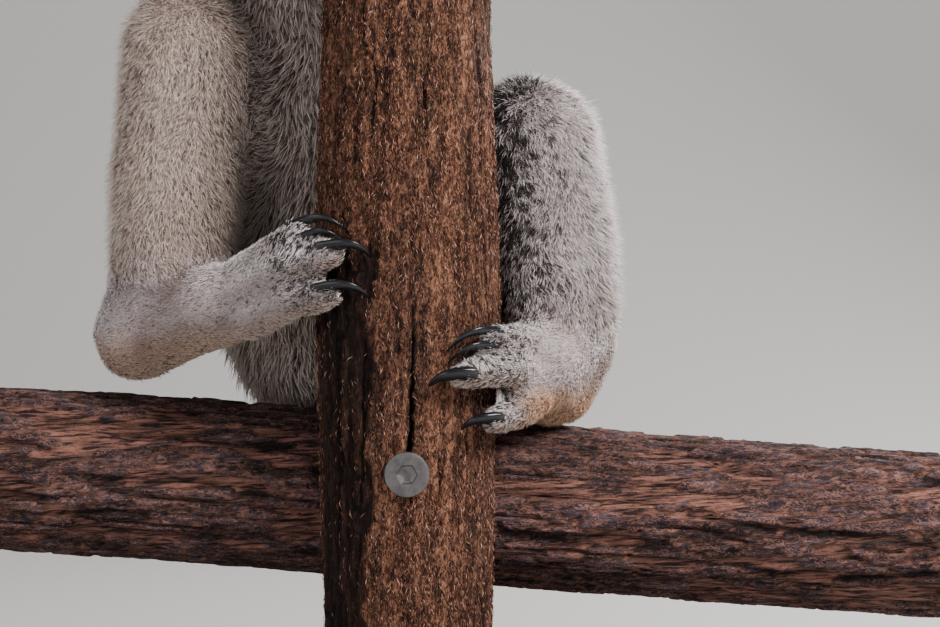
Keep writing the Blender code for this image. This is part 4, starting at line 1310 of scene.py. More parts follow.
print("coat depth mm: least", round(coat_depth.min() / MM, 2), "most",
      round(coat_depth.max() / MM, 2))

# %% [markdown]
# ## Eyes, lids, nose and mouth
#
# The face is where a model lives or dies. A koala's eye is small and round, brown with an
# upright slit, and the lids hold it in a dark bare rim that is no wider than a matchstick.
# A hole could be cut in the skin, but a cut leaves a sharp sheet. So the skin closes over
# the ball with a rolled edge: outside the opening it is lifted over the ball by the lid's
# thickness, and inside the opening it is drawn back behind the ball. A rim along the
# opening hides the step. The nose pad sits in the skin in the same way, with two comma
# shaped nostrils, and the mouth is a crease under it.

# %% Lids, nose bed and mouth crease
GAZE_OUT, GAZE_UP = 0.50, 0.06          # how far the eyes look to the side and up
LID_WIDE, LID_HIGH = math.radians(50), math.radians(40)    # half the opening's angles
LID_THICKNESS = 0.9 * MM
FACE_AXES = np.stack([HEAD_LEFT, HEAD_FRONT, HEAD_UP])   # rows: left, out, up
NOSE_HALF = np.array([np.ptp(node_points("nose") @ axis) / 2 for axis in FACE_AXES])


def gaze_axes(side):
    """The eye's own axes: across, out along its gaze, and up."""
    turn = 1 if side == "left" else -1
    out = unit(HEAD_FRONT + GAZE_OUT * turn * HEAD_LEFT + GAZE_UP * HEAD_UP)
    across = unit(np.cross(out, HEAD_UP))
    return np.stack([across, out, np.cross(across, out)])


def eye_place(points, side):
    """Distance from the eye's centre, and how far out of the lid's opening a place is:
    0 at the middle of the gaze, 1 on the lid's edge."""
    local = (points - EYES[side]) @ gaze_axes(side).T
    distance = lengths(local)
    across = np.arctan2(local[:, 0], local[:, 1])
    high = np.arcsin(np.clip(local[:, 2] / np.maximum(distance, 1e-6), -1, 1))
    opening = np.hypot(across / LID_WIDE, high / LID_HIGH)
    return distance, np.where(local[:, 1] > 0, opening, 9.0)


def shape_lids(co):
    """Lifts the skin over each eye by the lid's thickness and draws it in at the opening."""
    for side in SIDES:
        distance, opening = eye_place(co, side)
        out = unit(co - EYES[side])
        lid = EYE_RADIUS + LID_THICKNESS
        lifted = np.maximum(distance, lid)
        closing = rise(0.86, 1.06, opening)
        inside = EYE_RADIUS - 1.6 * MM
        wanted = inside + (lifted - inside) * closing
        near = (distance < EYE_RADIUS + 7 * MM) & (opening < 2.0)
        share = near * rise(2.0, 1.5, opening)
        share = np.where(opening < 1.06, near * 1.0, share)
        fold = 0.7 * MM * bell((opening - 1.45) / 0.12)
        co = co + out * (share * (wanted - distance) - near * fold)[:, None]
    return co


def nose_place(points):
    """Places in the nose's own axes, and 1 on its ellipsoid's surface."""
    local = (points - NOSE) @ FACE_AXES.T
    return local, lengths(local / NOSE_HALF)


def shape_nose_and_mouth(co, normals):
    """Draws the skin in behind the nose pad and presses the mouth's crease into it."""
    local, shell = nose_place(co)
    inner = rise(1.16, 1.00, shell)
    shrink = 1 + inner * (0.45 / np.maximum(shell, 0.3) - 1)
    co = NOSE + (local * shrink[:, None]) @ FACE_AXES
    across, out, up = (local / MM).T
    lip = -27.5 - 0.022 * across ** 2 + 0.9 * np.cos(across / 2.2)
    crease = bell((up - lip) / 1.3) * rise(24, 19, np.abs(across))
    philtrum = bell(across / 1.2) * rise(-29, -27, up) * rise(-17, -19, up)
    facing = rise(-34, -24, out)
    return co - normals * ((2.3 * crease + 1.3 * philtrum) * facing * MM)[:, None]


skin_co = shape_nose_and_mouth(skin_co, normals_of(skin_mesh))
skin_co = shape_lids(skin_co)
move_skin()
print("nose half sizes mm", np.round(NOSE_HALF / MM, 1))

# %% Eyeballs and lid rims
PUPIL_WIDE, PUPIL_HIGH = math.radians(5), math.radians(17)
IRIS_EDGE = math.radians(36)


def ball_rings(axes, centre, radius_at, rings=48, around=72):
    """Rings of a ball about its out axis; radius_at gives radii from the angle off that
    axis and the turn about it."""
    off, turn = np.meshgrid(np.linspace(math.pi - 0.01, 0.01, rings),
                            np.linspace(0, math.tau, around, endpoint=False), indexing="ij")
    across, high = np.sin(off) * np.sin(turn), np.sin(off) * np.cos(turn)
    local = np.stack([across, np.cos(off), high], 2) * radius_at(off, turn)[:, :, None]
    return list(centre + local @ axes), off, turn


def build_eye(side):
    """One eyeball with a corneal bulge, and where its iris and pupil are."""
    def radius_at(off, _):
        return EYE_RADIUS * (0.985 + 0.035 * bell(off / 0.55))

    rings, off, turn = ball_rings(gaze_axes(side), EYES[side], radius_at)
    mesh = closed_grid_mesh(f"eyeball_{side}", rings)
    across, high = np.sin(turn) * off, np.cos(turn) * off
    pupil = np.hypot(across / PUPIL_WIDE, high / PUPIL_HIGH)
    set_values(mesh, "pupil", np.append(pupil.ravel(), [9, 0]))
    set_values(mesh, "iris", np.append(off.ravel() / IRIS_EDGE, [9, 0]))
    set_values(mesh, "ray", np.append(turn.ravel(), [0, 0]))
    return mesh


def build_rim(side):
    """The bare rim along the lid's opening, drawn to a corner towards the nose."""
    axes, turn_to_nose = gaze_axes(side), (1 if side == "left" else -1)
    rings = []
    for angle in np.linspace(0, math.tau, 72, endpoint=False):
        corner = 1 + 0.16 * max(0.0, turn_to_nose * -math.sin(angle)) ** 6
        across = LID_WIDE * math.sin(angle) * corner
        high = LID_HIGH * math.cos(angle)
        out = np.array([math.sin(across) * math.cos(high), math.cos(across) * math.cos(high),
                        math.sin(high)])
        along = unit(np.array([math.cos(angle), 0, -math.sin(angle) * 0.8]))
        away = unit(np.cross(along, out))
        half = (0.95 + 0.15 * math.cos(angle)) * MM
        section = [(EYE_RADIUS + 0.25 * MM + half * math.cos(t)) * out + half * math.sin(t) * away
                   for t in np.linspace(0, math.tau, 14, endpoint=False)]
        rings.append(EYES[side] + np.array(section) @ axes)
    return rings


print("pupil height mm", round(2 * EYE_RADIUS * math.sin(PUPIL_HIGH) / MM, 1))

# %% Nose pad
def build_nose():
    """The nose pad: a spoon-shaped pad with nostrils and a groove between them."""
    def radius_at(off, turn):
        across, high = np.sin(off) * np.sin(turn), np.sin(off) * np.cos(turn)
        stretch = 1 / np.sqrt((across / NOSE_HALF[0]) ** 2 + (np.cos(off) / NOSE_HALF[1]) ** 2
                              + (high / NOSE_HALF[2]) ** 2)
        x, z = across * stretch / NOSE_HALF[0], high * stretch / NOSE_HALF[2]
        slit_x = np.abs(x) - 0.50 - 0.24 * np.sin(np.clip((z + 0.58) / 0.5, -1, 1) * 1.6)
        nostril = bell(slit_x / 0.17) * np.exp(-((z + 0.46) / 0.27) ** 4)
        groove = bell(x / 0.07) * rise(-0.1, -0.35, z)
        flat = 0.06 * bell((z - 0.35) / 0.5)
        front = rise(math.radians(100), math.radians(70), off)
        return stretch * (1 - front * (0.42 * nostril + 0.10 * groove + flat))

    rings, off, turn = ball_rings(FACE_AXES, NOSE, radius_at, 90, 120)
    return closed_grid_mesh("nose_pad", rings)


print("nose width mm", round(2 * NOSE_HALF[0] / MM, 1))

# %% Materials of eye, lid rim and nose
def make_eye_material():
    """A wet brown iris with fine rays, a black upright pupil and a dark edge."""
    material, tree, shader = new_material("koala_eye")
    rays = add_node(tree, "ShaderNodeTexNoise", {"noise_dimensions": "1D"},
                    W=attribute(tree, "ray"), Scale=9.0, Detail=3.0, Roughness=0.7).outputs["Fac"]
    brown = mix_colours(tree, rays, (0.060, 0.024, 0.009), (0.200, 0.090, 0.034))
    edge = remap(tree, attribute(tree, "iris"), 0.62, 1.0)
    brown = mix_colours(tree, edge, brown, (0.016, 0.008, 0.005))
    pupil = remap(tree, attribute(tree, "pupil"), 1.15, 0.90)
    plug(tree, shader, Base_Color=mix_colours(tree, pupil, brown, (0.001, 0.001, 0.001)),
         Roughness=remap(tree, rays, 0.3, 0.7, 0.10, 0.05), Coat_Weight=1.0, Coat_Roughness=0.02)
    return material


def make_nose_material(name, dark, light, rough):
    """Black leathery skin: fine pebbles, dull, with a faint sheen painted on the pebbles' tops."""
    material, tree, shader = new_material(name)
    spot = object_place(tree)
    pebbles = add_node(tree, "ShaderNodeTexVoronoi", {"feature": "F1"}, Vector=spot,
                       Scale=1150.0, Randomness=0.9).outputs["Distance"]
    broad = noise_texture(tree, spot, 160.0, 3.0)
    # painted sheen: the pebbles' tops get the lighter colour
    share = times(tree, broad, remap(tree, pebbles, 0.7, 0.1))
    plug(tree, shader, Base_Color=mix_colours(tree, share, dark, light),
         Roughness=remap(tree, broad, 0.3, 0.7, rough, rough + 0.18),
         Normal=bump(tree, remap(tree, pebbles, 0.75, 0.0), 0.55, 0.0004))
    return material


EYE_MATERIAL = make_eye_material()
NOSE_MATERIAL = make_nose_material("nose_leather", (0.006, 0.006, 0.007),
                                   (0.045, 0.040, 0.042), 0.36)
RIM_MATERIAL = make_nose_material("lid_rim_skin", (0.012, 0.009, 0.009),
                                  (0.060, 0.042, 0.040), 0.30)
for side in SIDES:
    finish_object(f"eyeball_{side}", build_eye(side), EYE_MATERIAL, "eye", f"eye_{side}")
    rim_mesh = closed_grid_mesh(f"lid_rim_{side}", build_rim(side), looped=True)
    face_out(rim_mesh)
    finish_object(f"lid_rim_{side}", rim_mesh, RIM_MATERIAL, "nose")
finish_object("nose_pad", build_nose(), NOSE_MATERIAL, "nose", "nose")
print("eyes, lid rims and nose pad made")

# %% [markdown]
# ## Claws
#
# A claw is a horn sheath, round on top, narrow below, and curved like a thorn. The frame's
# claws have flat sides, because they only have to be the right size and in the right place.
# A subdivision surface would round them, but it would also shrink their tips. Instead each
# claw is measured in slices from root to tip, and a new round loft with a keel along its
# back follows the same middle line.

# %% Loft the claws
CLAW_SLICES, CLAW_AROUND = 26, 22
CLAW_STOUT = 1.16       # how much thicker the round claws are than the flat-sided solids
CLAW_KEEL = 0.16        # how far the keel stands out along the back


def claw_rings(middles, sizes, up):
    """Rings of one claw along its smoothed middle line."""
    t = np.linspace(0, 1, len(middles))
    line = [np.polynomial.Polynomial.fit(t, column, 3) for column in middles.T]
    s = np.linspace(-0.02, 1.0, CLAW_SLICES)
    centre = np.stack([curve(s) for curve in line], 1)
    heading = unit(np.gradient(centre, axis=0))
    size = CLAW_STOUT * sizes[1:4].max() * np.clip(1.04 - s, 0.02, 1) ** 0.62
    size *= 1 - 0.10 * (1 - s) ** 3
    size *= np.where(s < 0.02, 0.93, 1)
    rings = []
    turn = np.linspace(0, math.tau, CLAW_AROUND, endpoint=False)
    keel = 1 + CLAW_KEEL * (bell(turn / 0.5) + bell((turn - math.tau) / 0.5))
    for place, way, radius in zip(centre, heading, size):
        side = unit(np.cross(way, up))
        tall, wide = np.cos(turn) * radius * 1.10 * keel, np.sin(turn) * radius * 0.84
        rings.append(place + tall[:, None] * np.cross(side, way) + wide[:, None] * side)
    return rings, s, turn


def build_claws(name, names):
    """All claws of one paw in one mesh, with the place along and round each claw."""
    paws = bmesh.new()
    along, round_claw = [], []
    for claw in names:
        middles, sizes = slices_of(claw)
        sag = middles[len(middles) // 2] - (middles[0] + middles[-1]) / 2
        rings, s, turn = claw_rings(middles, sizes, unit(sag))
        mesh = closed_grid_mesh(claw, rings)
        paws.from_mesh(mesh)
        bpy.data.meshes.remove(mesh)
        along += [*np.repeat(s, len(turn)), 0.0, 1.0]
        round_claw += [*np.tile(np.cos(turn), len(s)), 0.0, 0.0]
    mesh = bpy.data.meshes.new(name)
    paws.to_mesh(mesh)
    paws.free()
    face_out(mesh)
    mesh.shade_smooth()
    set_values(mesh, "along", along)
    set_values(mesh, "back", round_claw)
    return mesh


def make_claw_material():
    """Blue-black horn: glossy, streaked lengthwise, browner and duller at the root."""
    material, tree, shader = new_material("claw_horn")
    along = attribute(tree, "along")
    streaks = as_vector(tree, times(tree, attribute(tree, "back"), 9.0), times(tree, along, 1.3))
    streak = noise_texture(tree, streaks, 1.6, 4.0, Roughness=0.65)
    horn = mix_colours(tree, remap(tree, streak, 0.40, 0.75), (0.0045, 0.0047, 0.0068),
                       (0.019, 0.020, 0.026))
    root = remap(tree, along, 0.16, 0.0, 0.0, 0.55)
    plug(tree, shader, Base_Color=mix_colours(tree, root, horn, (0.055, 0.042, 0.036)),
         Roughness=remap(tree, streak, 0.3, 0.75, 0.15, 0.31),
         Normal=bump(tree, streak, 0.35, 0.0003))
    return material


CLAW_MATERIAL = make_claw_material()
for paw in ("foot_left", "foot_right", "hand_left", "hand_right"):
    names = [n for n in CLAW_NAMES if n.startswith(f"claw_{paw}")]
    claws = build_claws(f"claws_{paw}", names)
    finish_object(f"claws_{paw}", claws, CLAW_MATERIAL, "claw", *names)
print("claws:", len(CLAW_NAMES))

# %% [markdown]
# ## Bolt and stand
#
# The bolt that joins the timbers has a flat round head with a hexagonal socket. It is a
# turned part, so it is a lathe profile: closed rings from the shank's end to the head, with
# a broken edge. The socket's rings are hexagons instead of circles. The stand keeps the
# frame's own solids, which have the right shape, and only gets its finish.

# %% Build the bolt
BOLT_AROUND = 96
SOCKET_APOTHEM = 4.3 * MM
SOCKET_DEPTH = 2.6 * MM
HEAD_CHAMFER = 0.7 * MM


def hexagon(turn, apothem):
    """Radius of a hexagon at each turn."""
    return apothem / np.cos((turn + math.pi / 6) % (math.pi / 3) - math.pi / 6)


def build_bolt():
    """The bolt's mesh: shank, seat, chamfered head and socket."""
    turn = np.linspace(-math.pi, math.pi, BOLT_AROUND, endpoint=False)
    co = node_points("bolt")
    shank = co[co[:, 1] > BOLT_FACE_Y + 12 * MM]
    shank_radius = float(np.ptp(shank[:, 0]) / 2)
    length = BOLT_HIGH.y - BOLT_FACE_Y
    head, thick = BOLT_HEAD_RADIUS, BOLT_HEAD_THICKNESS
    circles = (
        (shank_radius * 0.8, length), (shank_radius, length - 1 * MM),
        (shank_radius, thick + 1 * MM), (shank_radius, thick),
        (head * 0.97, thick), (head, thick - 0.3 * MM),
        (head, HEAD_CHAMFER), (head - 0.25 * HEAD_CHAMFER, 0.35 * HEAD_CHAMFER),
        (head - HEAD_CHAMFER * 1.2, 0.0), (head * 0.80, 0.0), (head * 0.62, 0.0),
    )
    outlines = [(np.full(BOLT_AROUND, r), depth) for r, depth in circles]
    outlines += [(hexagon(turn, apothem), depth) for apothem, depth in (
        (SOCKET_APOTHEM + 0.5 * MM, 0.0), (SOCKET_APOTHEM + 0.1 * MM, 0.35 * MM),
        (SOCKET_APOTHEM, 0.6 * MM), (SOCKET_APOTHEM, SOCKET_DEPTH),
        (SOCKET_APOTHEM * 0.45, SOCKET_DEPTH + 0.9 * MM))]
    rings = [np.stack([BOLT_X + np.sin(turn) * r, np.full(BOLT_AROUND, BOLT_FACE_Y + depth),
                       BOLT_Z + np.cos(turn) * r], 1) for r, depth in outlines]
    mesh = closed_grid_mesh("bolt_steel", rings)
    face_out(mesh)
    mesh.set_sharp_from_angle(angle=math.radians(28))
    return mesh


print("bolt head mm", round(BOLT_HEAD_RADIUS * 2 / MM, 1),
      "socket", round(SOCKET_APOTHEM * 2 / MM, 1))

# %% Metal and paint
def make_metal(name, colour, dark, rough, scratch_scale, metallic=1.0, grime=0.5):
    """Metal with fine scratches, blotches and grime in the dull places."""
    material, tree, shader = new_material(name)
    spot = object_place(tree)
    stretch = add_node(tree, "ShaderNodeMapping", Vector=spot, Rotation=(0.3, 0.7, 0.2),
                       Scale=(1.0, 1.0, 14.0)).outputs[0]
    scratch = noise_texture(tree, stretch, scratch_scale, 4.0, Roughness=0.7)
    blotch = noise_texture(tree, spot, scratch_scale * 0.35, 4.0, Roughness=0.6)
    base = mix_colours(tree, remap(tree, scratch, 0.35, 0.65), colour,
                       tuple(c * 0.78 for c in colour))
    share = times(tree, remap(tree, blotch, 0.42, 0.66), grime)
    plug(tree, shader, Base_Color=mix_colours(tree, share, base, dark),
         Roughness=remap(tree, blotch, 0.3, 0.7, rough, rough + 0.22),
         Normal=bump(tree, scratch, 0.25, 0.0002), Metallic=metallic)
    return material


STEEL = make_metal("bolt_worn_steel", (0.23, 0.215, 0.215), (0.075, 0.068, 0.068), 0.44, 520.0)
ROD_STEEL = make_metal("rod_satin_steel", (0.44, 0.44, 0.45), (0.30, 0.30, 0.31), 0.30, 260.0,
                       grime=0.4)
STAND_PAINT = make_metal("stand_powder_coat", (0.034, 0.034, 0.037), (0.050, 0.050, 0.052), 0.40,
                         900.0, metallic=0.0)
finish_object("bolt_steel", build_bolt(), STEEL, "steel", "bolt")
for node, finish in (("stand_base", STAND_PAINT), ("stand_rod", ROD_STEEL)):
    NODES[node].data.materials.clear()
    NODES[node].data.materials.append(finish)
print("metals:", STEEL.name, ROD_STEEL.name, STAND_PAINT.name)

# %% [markdown]
# ## The lie of the coat and its markings
#
# Hair is combed: it runs from the knee to the ankle, from the elbow to the hand, away from
# the nose over the head, and down the back. Painting those directions by hand is how a
# groom usually starts. Here each part of the body gives every skin vertex a rough direction
# from its own joints, and averaging along the mesh's edges blends the parts.
#
# The markings are colours on the same vertices: ash grey on the back, cream on the chest
# and inner limbs, a pale mottled rump, and pale legs flecked with dark clumps of hair.
# Painted shade is added to them: greyer, darker hair on the left leg next to the post, and
# dark hair in the gaps between the toes. Skin and hair read the same two attributes, the
# colour and the share of dark hairs, both with that painted shade in them.

# %% Comb the coat
SKIN_NORMALS = normals_of(skin_mesh)
PAW_JOINT = {"foot": "ankle", "hand": "wrist"}
LIMB_RUNS = {"thigh": ("hip", "knee"), "shin": ("knee", "ankle"),
             "upper_arm": ("shoulder", "elbow"), "forearm": ("elbow", "wrist")}
WHORL_LIFT = 58         # degrees that hair stands up where the comb's directions meet


def comb_directions():
    """A rough direction of the hair at each skin vertex."""
    comb = np.zeros_like(skin_co)
    for k, name in enumerate(UNDER_SKIN):
        mine, kind, side = PART == k, PART_KIND[k], PART_SIDE[k]
        here = skin_co[mine]
        if kind in LIMB_RUNS:
            start, end = (JOINTS[joint, side] for joint in LIMB_RUNS[kind])
            run = unit(end - start)
            run[2] = min(run[2], -0.25)      # over the knee the hair turns down, it never parts
            comb[mine] = unit(run)
        elif kind in PAW_JOINT:
            joint = JOINTS[PAW_JOINT[kind], side]
            own = np.array([n.startswith(f"claw_{name}") for n in CLAW_NAMES])
            reach = unit(CLAW_MIDDLES[own].mean(0) - joint)
            to_claw = CLAW_MIDDLES[claw_index[mine]] - here
            share = rise(34, 14, claw_gap[mine])[:, None]
            comb[mine] = reach * (1.1 - share) + unit(to_claw) * share
        elif kind == "ear":
            comb[mine] = unit(here - JOINTS["ear_base", side])
        elif kind in ("head", "eye", "nose"):
            comb[mine] = unit(here - NOSE) - 0.25 * HEAD_UP
        else:
            out = here - NECK_BASE
            comb[mine] = unit(out * (0.5, 0.5, 0)) * 0.35 + np.array([0, 0, -1.0])
    return comb


def on_skin(directions):
    """Directions laid flat on the skin, at length one."""
    along = (directions * SKIN_NORMALS).sum(1)[:, None]
    return unit(directions - SKIN_NORMALS * along)


def turned(directions, angles):
    """Directions turned on the skin by their angles."""
    across = np.cross(SKIN_NORMALS, directions)
    return directions * np.cos(angles)[:, None] + across * np.sin(angles)[:, None]


rough_comb = spread(comb_directions(), 25)
into_skin = (rough_comb * SKIN_NORMALS).sum(1)[:, None] * SKIN_NORMALS
whorl = rise(0.45, 0.12, lengths(rough_comb - into_skin))
comb = on_skin(rough_comb)
spot_mm = skin_co / MM
tousle = 0.45 * noise(spot_mm / 15, 71) + 0.50 * noise(spot_mm / 4.6, 72)
calm_paw = 1 - 0.60 * np.isin(KIND, ("foot", "hand", "head", "nose"))
comb = on_skin(turned(comb, tousle * calm_paw))
hair_lift *= 1 + 0.30 * noise(spot_mm / 5.5, 73)
hair_lift += whorl * (WHORL_LIFT - hair_lift) * np.isin(KIND, list(LIMB_RUNS))
print("combed", len(comb), "places")

# %% Colours of the body
# linear colours
CREAM, PALE, ASH = (0.80, 0.69, 0.62), (0.52, 0.455, 0.455), (0.22, 0.18, 0.165)
DARK, BROWN = (0.024, 0.018, 0.018), (0.17, 0.115, 0.095)
TAN, RUST = (0.56, 0.39, 0.29), (0.82, 0.50, 0.30)
SNOW, MILK = (0.93, 0.855, 0.85), (0.93, 0.80, 0.72)
HEAD_GREY, ARM_GREY, EAR_GREY = (0.30, 0.255, 0.235), (0.30, 0.25, 0.225), (0.24, 0.20, 0.18)
BRIDGE, EYE_RING, GAP_SHADE = (0.15, 0.115, 0.10), (0.10, 0.075, 0.066), (0.035, 0.025, 0.022)


def painted(base, *coats):
    """A base colour, (3) or (n, 3), carried towards each coat's colour by its share (n)."""
    base = np.array(base)
    for colour, share in coats:
        base = base + (np.array(colour) - base) * np.clip(share, 0, 1).reshape(-1, 1)
    return base


def body_markings():
    """Colour and share of dark hairs for the body and head, before the legs are painted."""
    back = rise(-0.05, 0.55, SKIN_NORMALS[:, 1] + 0.25 * noise(spot_mm / 40, 81))
    mottle = noise(spot_mm / 13, 82) + 0.5 * noise(spot_mm / 5, 83)
    rump = rise(330, 250, spot_mm[:, 2]) * back
    colour = painted(CREAM, (ASH, back), (PALE, 0.30 * rise(0.0, 0.7, mottle) * back),
                     (CREAM, rump * rise(-0.1, 0.5, mottle) * 0.8))
    fleck = 0.20 + 0.18 * back
    arm, thigh = np.isin(KIND, ("upper_arm", "forearm", "hand")), KIND == "thigh"
    outer = rise(-0.5, 0.5, SKIN_NORMALS[:, 0] * np.where(SIDE == "left", 1, -1)
                         + 0.4 * SKIN_NORMALS[:, 2] + 0.2 * mottle)
    colour[arm] = painted(CREAM, (ARM_GREY, outer[arm]))
    fleck[arm] = 0.18 + 0.16 * outer[arm]
    colour[thigh] = painted(CREAM, (ASH, 0.75 * outer[thigh]))
    return colour, fleck, mottle


marking, fleck, body_mottle = body_markings()
print("mean colour of the body", marking.mean(0).round(2))

# %% Colours of the head and ears
def head_markings(colour, fleck, mottle):
    """Grey head, pale muzzle and chin, dark bridge behind the nose, fringed white ears."""
    head, ear = np.isin(KIND, ("head", "eye", "nose")), KIND == "ear"
    across, out, up = ((skin_co - NOSE) @ FACE_AXES.T / MM).T
    chin = rise(-14, -30, up + 0.10 * np.abs(across)) * rise(-100, -50, out)
    beside = bell((np.abs(across) - 24) / 8) * rise(-26, -8, up)
    bridge = bell(across / 13) * rise(12, 26, up) * rise(60, 34, up)
    rings = [rise(8.0, 2.5, (eye_place(skin_co, side)[0] - EYE_RADIUS) / MM) for side in SIDES]
    grey = painted(HEAD_GREY, (ASH, 0.6 * rise(-45, -90, out)),
                   (PALE, 0.35 * rise(0.0, 0.8, mottle)), (SNOW, 0.9 * chin),
                   (PALE, 0.8 * beside * rise(22, 8, up)), (BRIDGE, 0.55 * bridge),
                   *((EYE_RING, 0.75 * ring) for ring in rings))
    colour[head], fleck[head] = grey[head], 0.24
    inner = rise(-0.1, 0.5, SKIN_NORMALS @ HEAD_FRONT)
    rim = np.zeros(len(colour))
    for side in SIDES:
        reach = lengths(skin_co - JOINTS["ear_base", side]) / MM
        rim[SIDE == side] = rise(38, 58, reach)[SIDE == side]
    ears = painted(EAR_GREY, (SNOW, np.maximum(0.85 * inner, 0.55 * rim)))
    colour[ear], fleck[ear] = ears[ear], 0.18
    return colour, fleck


marking, fleck = head_markings(marking, fleck, body_mottle)
print("mean colour with the head", marking.mean(0).round(2))

# %% Colours of the legs, and painted shade in the gaps between toes
GAP_REACH, GAP_TILT, GAP_RAYS = 9 * MM, math.radians(50), 6    # how a gap's rays are cast


def shut_in(chosen):
    """Share of rays from each chosen vertex that soon meet other skin: high in the gaps
    between digits."""
    tree = BVHTree.FromPolygons([Vector(p) for p in skin_co],
                                [list(p.vertices) for p in skin_mesh.polygons])
    share = np.zeros(len(skin_co))
    for i in np.nonzero(chosen)[0]:
        normal = Vector(SKIN_NORMALS[i])
        start = Vector(skin_co[i]) + normal * 0.5 * MM
        lean = Matrix.Rotation(GAP_TILT, 3, normal.orthogonal()) @ normal
        rays = [normal] + [Matrix.Rotation(math.tau * k / GAP_RAYS, 3, normal) @ lean
                           for k in range(GAP_RAYS)]
        share[i] = np.mean([tree.ray_cast(start, ray, GAP_REACH)[0] is not None for ray in rays])
    return spread(share, 1)


def leg_markings(colour, fleck):
    """Cream legs. The left one is greyed and flecked dark towards the post, partly its dark hair
    and partly painted shade, with a strip of painted shade right beside the post and a pale
    outer side; the toes are pale with short dark hairs along them, tan below, and have
    painted shade in their gaps."""
    broad = noise(spot_mm / 14, 86)
    x, _, z = spot_mm.T
    # towards the post the left shin gets greyer with more dark hairs, partly dark hair and partly
    # painted shade; beside is a strip of painted shade right next to the post
    inward, upward = rise(92, 50, x + 6 * broad), rise(222, 262, z + 5 * broad)
    beside = rise(58, 48, x + 3 * broad) * upward
    tan = 0.45 * rise(0.25, 0.7, broad) * rise(300, 250, z)
    # for each side: colour of the shin, its share of dark hairs, and how worn the heel is
    legs = {"left": (painted(SNOW, (PALE, 0.45 * inward * upward), (TAN, tan)),
                     0.23 + 0.28 * inward * (0.30 + 0.70 * upward) + 0.16 * beside, 0.90),
            "right": (painted(MILK, (TAN, 0.08 + 0.3 * broad)), 0.22 + 0.10 * broad, 0.30)}
    under = rise(0.0, -0.75, SKIN_NORMALS[:, 2])
    away, toes = rise(20, 34, claw_gap), rise(44, 26, claw_gap)
    for side, (shin, dark, worn) in legs.items():
        leg, foot = ((KIND == kind) & (SIDE == side) for kind in ("shin", "foot"))
        colour[leg], fleck[leg] = shin[leg], dark[leg]
        heel = JOINTS["ankle", side][2] / MM - 22
        orange = worn * away * rise(heel + 1, heel - 9, z + 3 * broad)
        pale = painted(SNOW, (PALE, 0.20 + 0.35 * broad), (TAN, 0.65 * under), (RUST, orange),
                       (TAN, 0.35 * away * rise(0.2, 0.8, broad)))
        colour[foot] = pale[foot]
        fleck[foot] = (0.25 + toes * (0.23 - 0.10 * under))[foot]
    # painted shade: crevices between the digits get the dark GAP_SHADE colour and more dark hairs
    gap = rise(0.20, 0.52, shut_in(np.isin(KIND, ("foot", "hand"))))
    return painted(colour, (GAP_SHADE, 0.92 * gap)), fleck + 0.40 * gap


marking, fleck = leg_markings(marking, fleck)
plain = 1.0 - np.isin(KIND, ("foot", "hand", "head", "eye", "nose", "ear"))
marking, fleck = spread(spread(marking, 16, plain), 2), spread(spread(fleck, 10, plain), 1)
marking, fleck = np.clip(marking, 0.01, 0.95), np.clip(fleck, 0, 0.9)
print("mean marking", np.round(marking.mean(0), 2), "dark hairs", round(float(fleck.mean()), 2))

# %% Where hair grows, and how thick
SEEN_STRETCH = (92, 428)         # heights (mm) that the camera sees
BARE_NEAR_TIMBER = 2.2 * MM


def growth():
    """Relative density of the hairs at each vertex: none on the nose, on the lids' edges,
    and where paws press on the timber."""
    seen = (spot_mm[:, 2] > SEEN_STRETCH[0]) & (spot_mm[:, 2] < SEEN_STRETCH[1])
    seen = seen * rise(0.45, 0.0, SKIN_NORMALS[:, 1])
    dense = (1 + 1.0 * seen) * (1 + 1.2 * whorl)
    _, shell = nose_place(skin_co)
    dense *= rise(1.03, 1.22, shell)
    for side in SIDES:
        distance, opening = eye_place(skin_co, side)
        dense[(distance < EYE_RADIUS + 4 * MM) & (opening < 1.35)] = 0
    radius = np.interp(skin_co[:, 2], POST_LEVELS, POST_RADII)
    from_post = np.hypot(skin_co[:, 0], skin_co[:, 1]) - radius
    clear = rise(0.5 * BARE_NEAR_TIMBER, BARE_NEAR_TIMBER, from_post)
    dense *= np.where(skin_co[:, 2] < POST_LEVELS[-1], clear, 1)
    return dense, seen


hair_density, seen_share = growth()
outer_edge = rise(0.55, 0.95, SKIN_NORMALS[:, 0]) * (KIND == "shin") * (SIDE == "left")
hair_length *= 1 + 0.35 * outer_edge
hair_lift += 9 * outer_edge
hair_width *= 1 - 0.28 * seen_share
for name, values in (("hair_density", hair_density), ("hair_length", hair_length * MM),
                     ("hair_width", hair_width * MM), ("lift", np.radians(hair_lift)),
                     ("fleck", fleck)):
    set_values(skin_mesh, name, values)
set_values(skin_mesh, "marking", np.c_[marking, np.ones(len(marking))], "FLOAT_COLOR")
set_values(skin_mesh, "comb", comb, "FLOAT_VECTOR")
print("seen by the camera:", round(float((seen_share > 0.5).mean()), 2))

# %% Skin and coat colour
ROOT_TINT = (0.44, 0.36, 0.34)      # what a hair's colour is multiplied by at its root


